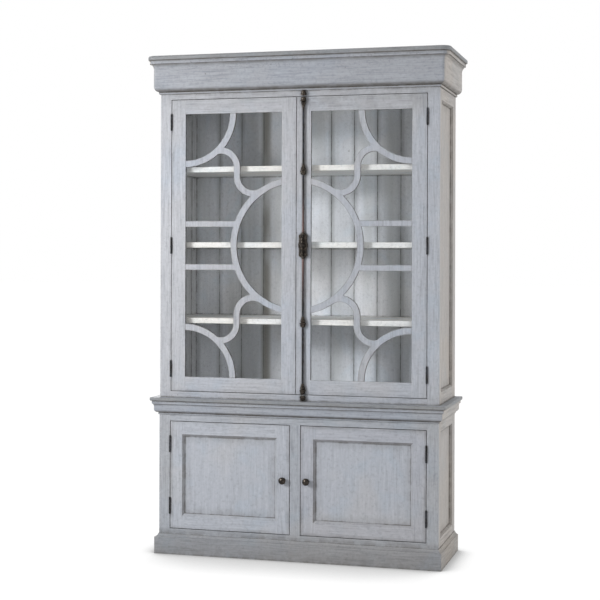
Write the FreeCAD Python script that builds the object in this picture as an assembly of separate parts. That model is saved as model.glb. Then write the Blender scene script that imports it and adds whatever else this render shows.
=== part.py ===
import FreeCAD, Part
import math
import os

# A tall two-part display cabinet: a glazed upper case with fretwork doors stands on a panelled base.
# Millimetres. X runs to the right seen from the front, Y to the back, Z up.
# The origin is on the floor, in the middle of the cabinet's overall box.

Vector = FreeCAD.Vector
os.makedirs("parts", exist_ok=True)

# Whole cabinet
overall_height = 2400.0
body_width = 1364.0
body_depth = 464.0
base_height = 754.0
case_setback = 8.0

# Carcass boards
frame_thickness = 22.0
side_thickness = 24.0
side_front_stile = 44.0
side_back_stile = 84.0
case_side_rail = 64.0
base_side_rail = 50.0
side_panel_recess = 13.0
side_bevel_width = 9.0
side_bevel_depth = 8.0
side_seat_width = 8.0
panel_edge_room = 1.0
back_inset = 2.0

# Face frames
face_stile = 54.0
mullion_width = 50.0
base_bottom_rail = 26.0
base_top_rail = 30.0
base_rail_foot = 30.0
case_bottom_rail = 29.0
case_top_rail = 26.5
door_gap = 3.0
door_thickness = 21.0

# Cornice
cap_thickness = 22.0
cap_overhang = 58.0
cap_top_radius = 8.0
cap_under_radius = 6.0
cornice_turn_reach = 14.0
cornice_fillet_projection = 50.0
cornice_fillet_height = 16.0
cornice_cove_projection = 44.0
cornice_cove_height = 34.0
cornice_fascia_projection = 31.0
cornice_fascia_height = 74.0
cornice_ovolo_height = 24.0
cornice_ovolo_foot = 9.0
cornice_bead_projection = 6.0
cornice_bead_height = 12.0

# Waist moulding under the base's top board
waist_top_thickness = 16.0
waist_top_overhang = 38.0
waist_top_radius = 4.0
waist_corner_radius = 6.0
waist_fillet_projection = 29.0
waist_fillet_height = 15.0
waist_cove_projection = 27.0
waist_cove_height = 14.0
waist_fascia_projection = 21.0
waist_fascia_height = 12.0
waist_ovolo_height = 16.0
waist_ovolo_foot = 6.5
waist_bead_projection = 3.0
waist_bead_height = 10.0

# Plinth
plinth_height = 80.0
plinth_projection = 18.5
plinth_cove_height = 15.0
plinth_ledge = 3.5
plinth_cove_foot = 3.5

# How far the curved stretches of a moulding bow, as a share of their chord
cove_bow_share = 0.13
ovolo_bow_share = 0.19
bead_bow_share = 0.22

# Boards inside
floor_thickness = 20.0
roof_rise = 14.5
back_board_thickness = 12.0
back_board_pitch = 118.0
back_groove_width = 5.0
back_groove_depth = 3.5
base_back_thickness = 8.0
base_back_foot = 20.0
shelf_thickness = 26.0
shelf_setback = 12.0
shelf_end_room = 0.6
shelf_edge_radius = 2.0
shelf_bottom_shares = (0.231, 0.488, 0.744)
base_shelf_thickness = 20.0
base_shelf_bottom_share = 0.5

# Shelf supports
support_radius = 2.5
support_bore_depth = 8.0
support_lug_length = 11.0
support_lug_width = 10.0
support_lug_height = 8.0
support_inset = 40.0
running_clearance = 0.05

# Dowels that locate the case on the base
dowel_radius = 5.0
dowel_length = 34.0
dowel_inset = 75.0
dowel_bore_share = 0.75

# Glazed doors
glass_door_stile = 70.0
glass_door_rail = 68.5
glass_thickness = 3.0
glass_seat_width = 10.0
glass_edge_room = 1.5
bead_depth = 6.0
bead_width = 9.0
fret_setback = 1.0
fret_thickness = 9.0
fret_band = 31.0
fret_bar_width = 28.0
fret_bar_offset = 103.5
# Radii of the pattern, and where its scrolls turn, as shares of the way from the doors' meeting line to the
# outer edge of the glass
fret_circle_share = 0.56
fret_corner_share = 0.432
fret_scroll_share = 0.148
fret_scroll_line_share = 0.5315
fret_scroll_top_angle = 14.0
fret_scroll_foot_angle = 28.0

# Panelled doors
panel_door_frame = 71.0
panel_bevel_width = 11.0
panel_bevel_depth = 7.0
panel_recess = 10.0
panel_thickness = 6.0
panel_seat_width = 9.0

# Butt hinges
hinge_height = 76.0
hinge_leaf_depth = 18.0
hinge_leaf_thickness = 1.2
hinge_knuckle_radius = 3.8
hinge_pin_radius = 1.8
hinge_pin_head_radius = 3.0
hinge_pin_head_height = 2.5
hinge_knuckles = 5
hinge_clearance = 0.3
panel_hinge_inset = 70.0

# Turned knobs
knob_radius = 17.0
knob_projection = 30.0
knob_stem_radius = 7.0
knob_rose_radius = 12.0
knob_rose_thickness = 3.0
knob_head_depth = 16.0
# Profile of the knob's head: shares of its depth and of the knob's radius
knob_head_shares = (
    (0.10, 0.70), (0.16, 0.86), (0.30, 0.97), (0.44, 1.0), (0.58, 0.96), (0.72, 0.84), (0.86, 0.62), (0.96, 0.34),
    (1.0, 0.14),
)
knob_height_share = 0.495

# Cremone bolt
rod_radius = 4.5
rod_standoff = 9.0
rod_clearance = 0.2
rod_throw = 18.0
rod_end_inset = 4.5
guide_height = 50.0
guide_end_room = 1.5
guide_ring_radius = 15.5
# Profile of a guide from its narrow end to its mouth: shares of its height and of its ring's radius
guide_profile_shares = (
    (0.0, 0.40), (0.10, 0.40), (0.12, 0.50), (0.17, 0.50), (0.19, 0.42), (0.30, 0.64), (0.40, 0.74), (0.50, 0.69),
    (0.56, 0.58), (0.60, 0.88), (0.64, 1.0), (0.69, 1.0), (0.73, 0.85), (0.76, 0.81), (0.88, 0.78), (0.96, 0.65),
    (1.0, 0.65),
)
guide_place_shares = (0.244, 0.755)
keeper_height = 24.0
keeper_room = 2.5
keeper_ring_radius = 14.0
# Profile of a keeper from its mouth to its closed end: shares of its height and of its ring's radius
keeper_profile_shares = (
    (0.0, 0.82), (0.12, 0.82), (0.18, 1.0), (0.42, 1.0), (0.50, 0.82), (0.72, 0.82), (0.88, 0.66), (1.0, 0.37),
)
keeper_bore_clearance = 0.8
keeper_bore_depth = 17.0
lock_half_height = 54.5
lock_half_width = 19.0
lock_depth = 18.0
lock_face_wall = 3.5
lock_room = 0.8
lock_edge_bevel = 2.5
# Outline of the lock's upper right quarter: shares of its half width and half height
lock_outline_shares = (
    (0.58, 1.0), (0.62, 0.97), (0.60, 0.94), (0.90, 0.935), (1.0, 0.90), (1.02, 0.80), (0.97, 0.70),
    (0.95, 0.50), (0.96, 0.32), (1.0, 0.24), (1.12, 0.16), (1.14, 0.07),
)
lock_collar_radius = 8.5
lock_collar_length = 8.0
lock_collar_bevel_shares = (0.7, 0.7)
pinion_radius = 11.2
pinion_thickness = 8.0
spindle_radius = 5.0
rack_gap = 0.3
rack_thickness = 2.6
rack_width = 6.0
rack_lap = 18.0
rack_bridge_clearance = 3.0
rack_bridge_height = 8.0
hub_radius = 11.0
hub_height = 7.0
hub_profile_shares = ((0.0, 1.0), (0.4, 1.0), (1.0, 0.7))
hub_neck_share = 0.6
lever_standoff = 12.0
lever_half_length = 52.0
lever_centre_radius = 8.0
lever_ball_radius = 7.0
# Profile of one arm of the lever: shares of its half length and of its radius at the middle
lever_arm_shares = ((0.0, 1.0), (0.12, 0.95), (0.22, 0.62), (0.50, 0.56), (0.72, 0.56))
lever_ball_angles = (-30, 0, 30, 60, 84)
# How far in front of the glazed doors the bolt's turned pieces may stand
bolt_reach = 36.0

# Magnetic catches behind the doors
catch_depth = 14.0
catch_height = 16.0
catch_length = 42.0
catch_drop = 22.0

# Cuts run this far past the faces that they break through
overrun = 5.0

# Places worked out from the sizes above
front_reach = max(cap_overhang - case_setback, waist_top_overhang, plinth_projection)
back_y = (body_depth + front_reach) / 2
base_front_y = back_y - body_depth
case_front_y = base_front_y + case_setback
half_width = body_width / 2
inner_half = half_width - side_thickness
opening_half = half_width - face_stile

cap_underside = overall_height - cap_thickness
waist_underside = base_height - waist_top_thickness
plinth_top = plinth_height + plinth_cove_height
case_opening_bottom = base_height + case_bottom_rail
cornice_foot = (cap_underside - cornice_fillet_height - cornice_cove_height - cornice_fascia_height
                - cornice_ovolo_height - cornice_bead_height)
waist_foot = (waist_underside - waist_fillet_height - waist_cove_height - waist_fascia_height
              - waist_ovolo_height - waist_bead_height)
base_opening_bottom = plinth_top + base_bottom_rail
base_opening_top = waist_foot - base_top_rail
case_opening_top = cornice_foot - case_top_rail
roof_underside = case_opening_top + roof_rise
back_board_front = back_y - back_inset - back_board_thickness
base_back_front = back_y - back_inset - base_back_thickness

glass_door_bottom = case_opening_bottom + door_gap
glass_door_top = case_opening_top - door_gap
glass_door_outer = opening_half - door_gap
glass_door_inner = door_gap / 2
panel_door_bottom = base_opening_bottom + door_gap
panel_door_top = base_opening_top - door_gap
panel_door_outer = opening_half - door_gap
panel_door_inner = mullion_width / 2 + door_gap

rod_x = glass_door_inner + glass_door_stile / 2
rod_y = case_front_y - rod_standoff
lock_z = (glass_door_bottom + glass_door_top) / 2


def box(x0, x1, y0, y1, z0, z1):
    """Block between two corners."""
    return Part.makeBox(x1 - x0, y1 - y0, z1 - z0, Vector(x0, y0, z0))


def prism_up(points, z0, z1):
    """Upright prism over an outline of X, Y points."""
    corners = [Vector(x, y, z0) for x, y in points]
    return Part.Face(Part.makePolygon(corners + corners[:1])).extrude(Vector(0, 0, z1 - z0))


def prism_back(points, y0, y1):
    """Prism along Y over an outline of X, Z points; a point that repeats the one before it is left out."""
    corners = [Vector(x, y0, z) for index, (x, z) in enumerate(points) if (x, z) != points[index - 1]]
    return Part.Face(Part.makePolygon(corners + corners[:1])).extrude(Vector(0, y1 - y0, 0))


def mirrored(shape):
    """The same piece on the other side of the cabinet."""
    return shape.mirror(Vector(0, 0, 0), Vector(1, 0, 0))


def rod_along(radius, start, end):
    """Round bar between two points."""
    return Part.makeCylinder(radius, (end - start).Length, start, end - start)


def turned(points, centre, about_y=False):
    """Solid turned from (distance along the axis, radius) points, about a Z axis or an axis towards the front."""
    ends = [(points[0][0], 0)] + list(points) + [(points[-1][0], 0)]
    corners = [Vector(radius, 0, along) for along, radius in ends]
    face = Part.Face(Part.makePolygon(corners + corners[:1]))
    solid = face.revolve(Vector(0, 0, 0), Vector(0, 0, 1), 360)
    if about_y:
        solid.rotate(Vector(0, 0, 0), Vector(1, 0, 0), 90)
    solid.translate(centre)
    return solid


def save(name, shapes):
    """Writes one sub-part, a single solid or a group of separate ones."""
    solids = [solid for shape in shapes for solid in shape.Solids]
    whole = solids[0] if len(solids) == 1 else Part.makeCompound(solids)
    whole.exportStep("parts/" + name + ".step")


def bowed_edge(start, end, bow_share):
    """Line or arc from start to end; the arc bows to the left of its run by a share of its chord."""
    if bow_share == 0:
        return Part.LineSegment(start, end).toShape()
    run = end - start
    side = Vector(0, -run.z, run.y)
    return Part.Arc(start, (start + end) * 0.5 + side * bow_share, end).toShape()


def moulding_face(points):
    """Section of a moulding from (projection, height, bow of the edge that follows) points."""
    corners = [Vector(0, -projection, height) for projection, height, bow in points]
    edges = []
    for index, (projection, height, bow_share) in enumerate(points):
        edges.append(bowed_edge(corners[index], corners[(index + 1) % len(corners)], bow_share))
    return Part.Face(Part.Wire(edges))


def crown_points(top, fillet, cove, fascia, ovolo, bead):
    """Stacked section: fillet, cove, fascia, ovolo and bead, each (projection, height)."""
    under_fillet = top - fillet[1]
    under_cove = under_fillet - cove[1]
    under_fascia = under_cove - fascia[1]
    under_ovolo = under_fascia - ovolo[1]
    return [
        (0, top, 0),
        (fillet[0], top, 0),
        (fillet[0], under_fillet, 0),
        (cove[0], under_fillet, cove_bow_share),
        (fascia[0], under_cove, 0),
        (fascia[0], under_fascia, -ovolo_bow_share),
        (ovolo[0], under_ovolo, 0),
        (bead[0], under_ovolo, -bead_bow_share),
        (bead[0], under_ovolo - bead[1], 0),
        (0, under_ovolo - bead[1], 0),
    ]


def mitred_run(face, front_y):
    """Front moulding with its right and left returns, mitred at both corners."""
    reach = face.BoundBox.YLength
    low, high = face.BoundBox.ZMin - overrun, face.BoundBox.ZMax + overrun
    front = face.extrude(Vector(2 * (half_width + reach), 0, 0))
    front.translate(Vector(-half_width - reach, front_y, 0))
    turned_face = face.copy()
    turned_face.rotate(Vector(0, 0, 0), Vector(0, 0, 1), 90)
    side = turned_face.extrude(Vector(0, back_y - front_y + reach, 0))
    side.translate(Vector(half_width, front_y - reach, 0))
    inner = (half_width - overrun, front_y + overrun)
    outer = (half_width + reach + overrun, front_y - reach - overrun)
    beyond = prism_up([inner, outer, (outer[0], inner[1])], low, high)
    before = prism_up([inner, outer, (inner[0], outer[1])], low, high)
    side = side.cut(before)
    return front.cut([beyond, mirrored(beyond)]), side, mirrored(side)


def rounded_run(face, front_y, turn_reach):
    """Front moulding with its returns, its corners turned about upright lines outside the body's corners.

    turn_reach is how far out of both faces of the body that line stands. What is nearer to the
    body is mitred square.
    """
    low, high = face.BoundBox.ZMin - overrun, face.BoundBox.ZMax + overrun
    near = box(-overrun, overrun, -turn_reach, overrun, low, high)
    front, side, _ = mitred_run(face.common(near).Faces[0], front_y)
    outer = face.cut(near).Faces[0]
    run = outer.extrude(Vector(2 * (half_width + turn_reach), 0, 0))
    run.translate(Vector(-half_width - turn_reach, front_y, 0))
    turned_face = outer.copy()
    turned_face.rotate(Vector(0, 0, 0), Vector(0, 0, 1), 90)
    side_run = turned_face.extrude(Vector(0, back_y - front_y + turn_reach, 0))
    side_run.translate(Vector(half_width, front_y - turn_reach, 0))
    front_turn = outer.revolve(Vector(0, -turn_reach, 0), Vector(0, 0, 1), 45)
    side_turn = front_turn.copy()
    side_turn.rotate(Vector(0, -turn_reach, 0), Vector(0, 0, 1), 45)
    for turn in (front_turn, side_turn):
        turn.translate(Vector(half_width + turn_reach, front_y, 0))
    front = front.fuse([run, front_turn, mirrored(front_turn)]).removeSplitter()
    side = side.fuse([side_run, side_turn]).removeSplitter()
    return front, side, mirrored(side)


def rectangle(x0, x1, z0, z1, y):
    """Closed wire in an upright plane."""
    corners = [Vector(x0, y, z0), Vector(x1, y, z0), Vector(x1, y, z1), Vector(x0, y, z1)]
    return Part.makePolygon(corners + corners[:1])


def frame_members(width, height, stiles, rails, thickness, bevel, seat):
    """Two stiles and two rails round an opening, front face at Y 0, corner at the origin.

    bevel is (width, depth) round the opening's front; seat is (width, front, back) of the
    rebate or groove that holds the glass or the panel.
    """
    left, right = stiles[0], width - stiles[1]
    bottom, top = rails[0], height - rails[1]
    body = box(0, width, 0, thickness, 0, height)
    opening = box(left, right, -overrun, thickness + overrun, bottom, top)
    seat_back = seat[2] + (overrun if seat[2] >= thickness else 0)
    hold = box(left - seat[0], right + seat[0], seat[1], seat_back, bottom - seat[0], top + seat[0])
    frame = body.cut([opening, hold])
    slope = 0
    if bevel[0] > 0:
        slope = bevel[0]
        spread = bevel[0] * (bevel[1] + overrun) / bevel[1]
        near = rectangle(left - spread, right + spread, bottom - spread, top + spread, -overrun)
        far = rectangle(left, right, bottom, top, bevel[1])
        frame = frame.cut(Part.makeLoft([near, far], True, True))
    joint_left, joint_right = left - slope, right + slope
    low, high = bottom - slope, top + slope
    outlines = (
        [(0, 0), (joint_left, 0), (joint_left, low), (left, bottom), (left, top),
         (joint_left, high), (joint_left, height), (0, height)],
        [(width, 0), (joint_right, 0), (joint_right, low), (right, bottom), (right, top),
         (joint_right, high), (joint_right, height), (width, height)],
        [(joint_left, 0), (joint_right, 0), (joint_right, low), (right, bottom), (left, bottom),
         (joint_left, low)],
        [(joint_left, height), (joint_right, height), (joint_right, high), (right, top), (left, top),
         (joint_left, high)],
    )
    prisms = [prism_back(outline, -overrun, thickness + overrun) for outline in outlines]
    return [frame.common(prism).removeSplitter() for prism in prisms]


def placed(shapes, x, y, z):
    """The shapes moved to a corner point."""
    for shape in shapes:
        shape.translate(Vector(x, y, z))
    return shapes


def on_right_side(shapes, x, y, z):
    """The shapes turned so that their front looks to the right, then moved to a corner point."""
    for shape in shapes:
        shape.rotate(Vector(0, 0, 0), Vector(0, 0, 1), 90)
    return placed(shapes, x, y, z)


def dowel_places():
    """Centres of the dowels on the right side."""
    x = half_width - side_thickness / 2
    return [(x, case_front_y + dowel_inset), (x, back_y - dowel_inset)]


def dowel_bar(x, y, clearance, extra):
    """Dowel, or with clearance the bore for it."""
    middle = base_height
    start = Vector(x, y, middle - waist_top_thickness * dowel_bore_share - extra)
    return rod_along(dowel_radius + clearance, start, start + Vector(0, 0, dowel_length + 2 * extra))


def make_dowels():
    """Four dowels between the base's top board and the case's sides."""
    right = [dowel_bar(x, y, 0, 0) for x, y in dowel_places()]
    save("case_dowels", right + [mirrored(bar) for bar in right])


def side_set(bottom, top, rails, front_y, cuts):
    """Right side: frame members and panel between two heights."""
    start_y = front_y + frame_thickness
    width = back_y - start_y
    height = top - bottom
    stiles = (side_front_stile, side_back_stile)
    seat = (side_seat_width, side_panel_recess, side_thickness)
    bevel = (side_bevel_width, side_bevel_depth)
    members = frame_members(width, height, stiles, rails, side_thickness, bevel, seat)
    room = side_seat_width - panel_edge_room
    panel = box(stiles[0] - room, width - stiles[1] + room, side_panel_recess, side_thickness,
                rails[0] - room, height - rails[1] + room)
    members = on_right_side(members, half_width, start_y, bottom)
    panel = on_right_side([panel], half_width, start_y, bottom)[0]
    return [member.cut(cuts) for member in members], panel.cut(cuts)


def shelf_levels():
    """Undersides of the case's shelves."""
    clear = roof_underside - case_opening_bottom
    return [case_opening_bottom + share * clear for share in shelf_bottom_shares]


def base_shelf_level():
    """Underside of the base's shelf."""
    return base_opening_bottom + base_shelf_bottom_share * (waist_underside - base_opening_bottom)


def support_ys(front_y, rear_y):
    """Front and rear support places of a shelf that starts behind the face frame."""
    return front_y + frame_thickness + shelf_setback + support_inset, rear_y - support_inset


def support_places():
    """Right-hand shelf supports: Y and the underside that each carries, case then base."""
    case = [(y, level) for level in shelf_levels() for y in support_ys(case_front_y, back_board_front)]
    base = [(y, base_shelf_level()) for y in support_ys(base_front_y, base_back_front)]
    return case, base


def support_pin(y, level, clearance):
    """Pin of a shelf support in the side panel, or with clearance its bore."""
    z = level - support_lug_height / 2
    start = Vector(inner_half, y, z)
    return rod_along(support_radius + clearance, start, start + Vector(support_bore_depth + clearance, 0, 0))


def support_piece(y, level):
    """Pin with the flat lug that the shelf rests on."""
    half = support_lug_width / 2
    lug = box(inner_half - support_lug_length, inner_half, y - half, y + half, level - support_lug_height, level)
    return lug.fuse(support_pin(y, level, 0))


def make_supports():
    """All shelf supports."""
    case, base = support_places()
    right = [support_piece(y, level) for y, level in case + base]
    save("shelf_supports", right + [mirrored(piece) for piece in right])


def make_sides():
    """Framed sides of the base and the case."""
    case_pins, base_pins = support_places()
    dowel_bores = [dowel_bar(x, y, running_clearance, running_clearance) for x, y in dowel_places()]
    base_rails = (plinth_top + base_side_rail, waist_underside - waist_foot + base_side_rail)
    case_rails = (case_side_rail, cap_underside - cornice_foot + case_side_rail)
    for name, bottom, top, rails, front_y, cuts, pins in (
            ("base", 0, waist_underside, base_rails, base_front_y, [], base_pins),
            ("case", base_height, cap_underside, case_rails, case_front_y, dowel_bores, case_pins)):
        pin_bores = [support_pin(y, level, running_clearance) for y, level in pins]
        members, panel = side_set(bottom, top, rails, front_y, cuts + pin_bores)
        save(name + "_side_frame_right", members)
        save(name + "_side_frame_left", [mirrored(member) for member in members])
        save(name + "_side_panel_right", [panel])
        save(name + "_side_panel_left", [mirrored(panel)])


def make_face_frames():
    """Stiles, rails and mullion round the two pairs of doors."""
    back = base_front_y + frame_thickness
    stile = box(opening_half, half_width, base_front_y, back, 0, waist_underside)
    mullion = box(-mullion_width / 2, mullion_width / 2, base_front_y, back, base_opening_bottom, base_opening_top)
    low = box(-opening_half, opening_half, base_front_y, back, base_rail_foot, base_opening_bottom)
    high = box(-opening_half, opening_half, base_front_y, back, base_opening_top, waist_underside)
    save("base_face_frame", [stile, mirrored(stile), mullion, low, high])
    back = case_front_y + frame_thickness
    stile = box(opening_half, half_width, case_front_y, back, base_height, cap_underside)
    low = box(-opening_half, opening_half, case_front_y, back, base_height, case_opening_bottom)
    high = box(-opening_half, opening_half, case_front_y, back, case_opening_top, cap_underside)
    save("case_face_frame", [stile, mirrored(stile), low, high])


def rounded_board(overhang, front_y, z0, z1, corner_radius, top_radius, under_radius):
    """Board over the whole body with an overhang in front and at the sides, its edges rounded."""
    board = box(-half_width - overhang, half_width + overhang, front_y - overhang, back_y, z0, z1)
    front = front_y - overhang
    upright = [edge for edge in board.Edges
               if edge.BoundBox.ZLength > (z1 - z0) / 2 and edge.BoundBox.YMax < front + overhang / 2]
    board = board.makeFillet(min(corner_radius, overhang), upright)
    for height, radius in ((z1, top_radius), (z0, under_radius)):
        if radius > 0:
            rim = [edge for edge in board.Edges
                   if abs(edge.BoundBox.ZMax - height) + abs(edge.BoundBox.ZMin - height) < radius / 4
                   and edge.BoundBox.YMin < back_y - radius / 4]
            board = board.makeFillet(min(radius, (z1 - z0) / 2.2), rim)
    return board


def make_mouldings():
    """Cornice, waist and plinth, each with its mitred returns, and the two overhanging boards."""
    cornice = moulding_face(crown_points(
        cap_underside,
        (cornice_fillet_projection, cornice_fillet_height), (cornice_cove_projection, cornice_cove_height),
        (cornice_fascia_projection, cornice_fascia_height), (cornice_ovolo_foot, cornice_ovolo_height),
        (cornice_bead_projection, cornice_bead_height)))
    waist = moulding_face(crown_points(
        waist_underside,
        (waist_fillet_projection, waist_fillet_height), (waist_cove_projection, waist_cove_height),
        (waist_fascia_projection, waist_fascia_height), (waist_ovolo_foot, waist_ovolo_height),
        (waist_bead_projection, waist_bead_height)))
    plinth = moulding_face([
        (0, 0, 0), (plinth_projection, 0, 0), (plinth_projection, plinth_height, 0),
        (plinth_projection - plinth_ledge, plinth_height, -cove_bow_share),
        (plinth_cove_foot, plinth_top, 0), (0, plinth_top, 0)])
    for name, (front, right, left) in (
            ("cornice", rounded_run(cornice, case_front_y, cornice_turn_reach)),
            ("waist_moulding", mitred_run(waist, base_front_y)),
            ("plinth", mitred_run(plinth, base_front_y))):
        save(name + "_front", [front])
        save(name + "_right", [right])
        save(name + "_left", [left])
    save("cornice_cap", [rounded_board(cap_overhang, case_front_y, cap_underside, overall_height,
                                       cap_overhang - cornice_turn_reach, cap_top_radius, cap_under_radius)])
    top = rounded_board(waist_top_overhang, base_front_y, waist_underside, base_height,
                        waist_corner_radius, waist_top_radius, waist_top_radius)
    bores = [dowel_bar(x, y, running_clearance, running_clearance) for x, y in dowel_places()]
    save("waist_top", [top.cut(bores + [mirrored(bore) for bore in bores])])


def back_joints():
    """X places of the joints between the back boards, right of the middle."""
    count = max(1, round((inner_half - back_board_pitch / 2) / back_board_pitch))
    return [back_board_pitch * (index + 0.5) for index in range(count)]


def make_boards():
    """Floors, roof and backs."""
    case_inside = case_front_y + frame_thickness
    base_inside = base_front_y + frame_thickness
    save("case_floor", [box(-inner_half, inner_half, case_inside, back_board_front,
                            case_opening_bottom - floor_thickness, case_opening_bottom)])
    save("case_roof", [box(-inner_half, inner_half, case_inside, back_board_front,
                           roof_underside, roof_underside + floor_thickness)])
    save("base_floor", [box(-inner_half, inner_half, base_inside, base_back_front,
                            base_opening_bottom - floor_thickness, base_opening_bottom)])
    save("base_back", [box(-inner_half, inner_half, base_back_front, back_y - back_inset,
                           base_back_foot, waist_underside)])
    joints = back_joints()
    edges = [-inner_half] + [-x for x in reversed(joints)] + joints + [inner_half]
    boards = []
    for left, right in zip(edges[:-1], edges[1:]):
        front, back = back_board_front, back_board_front + back_board_thickness
        half = back_groove_width / 2
        outline = [(left, back), (right, back)]
        outline += [(right, front + back_groove_depth), (right - half, front)] if right < inner_half else [(right, front)]
        outline += [(left + half, front), (left, front + back_groove_depth)] if left > -inner_half else [(left, front)]
        boards.append(prism_up(outline, base_height, cap_underside))
    save("case_back_boards", boards)


def shelf_board(front_y, rear_y, level, thickness):
    """Shelf with its long front edges eased."""
    half = inner_half - shelf_end_room
    board = box(-half, half, front_y, rear_y, level, level + thickness)
    front_edges = [edge for edge in board.Edges
                   if edge.BoundBox.XLength > half and edge.BoundBox.YMax < front_y + thickness / 2]
    return board.makeFillet(shelf_edge_radius, front_edges)


def make_shelves():
    """Three shelves in the case and one in the base."""
    front = case_front_y + frame_thickness + shelf_setback
    for name, level in zip(("lower", "middle", "upper"), shelf_levels()):
        save("shelf_" + name, [shelf_board(front, back_board_front - shelf_end_room, level, shelf_thickness)])
    front = base_front_y + frame_thickness + shelf_setback
    save("base_shelf", [shelf_board(front, base_back_front - shelf_end_room, base_shelf_level(),
                                    base_shelf_thickness)])


def arc_point(centre, radius, degrees):
    """Point on a circle in the door's plane."""
    angle = math.radians(degrees)
    return Vector(centre[0] + radius * math.cos(angle), 0, centre[1] + radius * math.sin(angle))


def fret_arc(centre, radius, start, end):
    """Curved band between two angles, flat in the door's plane."""
    outer, inner = radius + fret_band / 2, radius - fret_band / 2
    middle = (start + end) / 2
    outer_arc = Part.Arc(arc_point(centre, outer, start), arc_point(centre, outer, middle),
                         arc_point(centre, outer, end)).toShape()
    inner_arc = Part.Arc(arc_point(centre, inner, end), arc_point(centre, inner, middle),
                         arc_point(centre, inner, start)).toShape()
    first = Part.LineSegment(arc_point(centre, outer, end), arc_point(centre, inner, end)).toShape()
    last = Part.LineSegment(arc_point(centre, inner, start), arc_point(centre, outer, start)).toShape()
    return Part.Face(Part.Wire([outer_arc, first, inner_arc, last])).extrude(Vector(0, fret_thickness, 0))


def fret_half(corner_z, middle_z, direction, outer_x):
    """Corner arc and scroll of one half of a door; direction is 1 above the middle and -1 below."""
    corner_radius = fret_corner_share * outer_x
    scroll_radius = fret_scroll_share * outer_x
    line_x = fret_scroll_line_share * outer_x
    # The scroll ends on the centre lines of the corner arc and of the great circle.
    top_angle = math.radians(fret_scroll_top_angle)
    foot_angle = math.radians(fret_scroll_foot_angle)
    reach = outer_x - (line_x + scroll_radius * (1 + math.sin(top_angle)))
    drop = math.sqrt(corner_radius ** 2 - reach ** 2)
    upper_z = corner_z - direction * (drop + scroll_radius * math.cos(top_angle))
    foot_x = line_x - scroll_radius * (1 + math.sin(foot_angle))
    rise = math.sqrt((fret_circle_share * outer_x) ** 2 - foot_x ** 2)
    lower_z = middle_z + direction * (rise + scroll_radius * math.cos(foot_angle))
    low, high = sorted((upper_z, lower_z))
    half = fret_band / 2
    return [
        fret_arc((outer_x, corner_z), corner_radius, 180, 180 + direction * 90),
        fret_arc((line_x + scroll_radius, upper_z), scroll_radius,
                 direction * 180, direction * (90 - fret_scroll_top_angle)),
        fret_arc((line_x - scroll_radius, lower_z), scroll_radius,
                 0, -direction * (90 + fret_scroll_foot_angle)),
        box(line_x - half, line_x + half, 0, fret_thickness, low, high),
    ]


def make_fretwork(inner_x, outer_x, bottom, top):
    """Fretwork of the right glazed door, one piece that fills the opening in front of the glass."""
    middle_z = (bottom + top) / 2
    circle_radius = fret_circle_share * outer_x
    bands = fret_half(top, middle_z, 1, outer_x) + fret_half(bottom, middle_z, -1, outer_x)
    bands.append(fret_arc((0, middle_z), circle_radius, -90, 90))
    start = math.sqrt(circle_radius ** 2 - fret_bar_offset ** 2)
    for side in (-1, 1):
        z = middle_z + side * fret_bar_offset
        bands.append(box(start, outer_x, 0, fret_thickness, z - fret_bar_width / 2, z + fret_bar_width / 2))
    whole = bands[0].fuse(bands[1:])
    whole = whole.common(box(inner_x, outer_x, -overrun, fret_thickness + overrun, bottom, top)).removeSplitter()
    return placed([whole], 0, case_front_y + fret_setback, 0)


def glazing_beads(inner_x, outer_x, bottom, top, front_y):
    """Four mitred strips that hold the glass from behind."""
    seat = glass_seat_width
    x0, x1, z0, z1 = inner_x - seat, outer_x + seat, bottom - seat, top + seat
    w = bead_width
    y1 = front_y + bead_depth
    outlines = (
        [(x0, z0), (x0 + w, z0 + w), (x0 + w, z1 - w), (x0, z1)],
        [(x1, z0), (x1 - w, z0 + w), (x1 - w, z1 - w), (x1, z1)],
        [(x0, z0), (x1, z0), (x1 - w, z0 + w), (x0 + w, z0 + w)],
        [(x0, z1), (x1, z1), (x1 - w, z1 - w), (x0 + w, z1 - w)],
    )
    return [prism_back(outline, front_y, y1) for outline in outlines]


def make_glass_doors():
    """Glazed doors: frame, fretwork, glass and beads; the left one mirrors the right one."""
    width = glass_door_outer - glass_door_inner
    height = glass_door_top - glass_door_bottom
    glass_front = fret_setback + fret_thickness
    seat = (glass_seat_width, glass_front, door_thickness)
    frame = frame_members(width, height, (glass_door_stile, glass_door_stile), (glass_door_rail, glass_door_rail),
                          door_thickness, (0, 0), seat)
    frame = placed(frame, glass_door_inner, case_front_y, glass_door_bottom)
    inner_x, outer_x = glass_door_inner + glass_door_stile, glass_door_outer - glass_door_stile
    bottom, top = glass_door_bottom + glass_door_rail, glass_door_top - glass_door_rail
    room = glass_seat_width - glass_edge_room
    glass_y = case_front_y + glass_front
    glass = box(inner_x - room, outer_x + room, glass_y, glass_y + glass_thickness, bottom - room, top + room)
    pieces = {
        "frame": frame,
        "fretwork": make_fretwork(inner_x, outer_x, bottom, top),
        "glass": [glass],
        "beads": glazing_beads(inner_x, outer_x, bottom, top, glass_y + glass_thickness),
    }
    for name, shapes in pieces.items():
        save("glass_door_right_" + name, shapes)
        save("glass_door_left_" + name, [mirrored(shape) for shape in shapes])


def knob_at(x, z):
    """Turned knob with its rose on the face of a base door."""
    rose, neck = knob_rose_thickness, knob_projection - knob_head_depth
    head = knob_head_depth
    profile = [
        (0, knob_rose_radius), (rose, knob_rose_radius), (rose, knob_stem_radius), (neck, knob_stem_radius),
    ]
    profile += [(neck + head * along, knob_radius * across) for along, across in knob_head_shares]
    return turned(profile, Vector(x, base_front_y, z), about_y=True)


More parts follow.
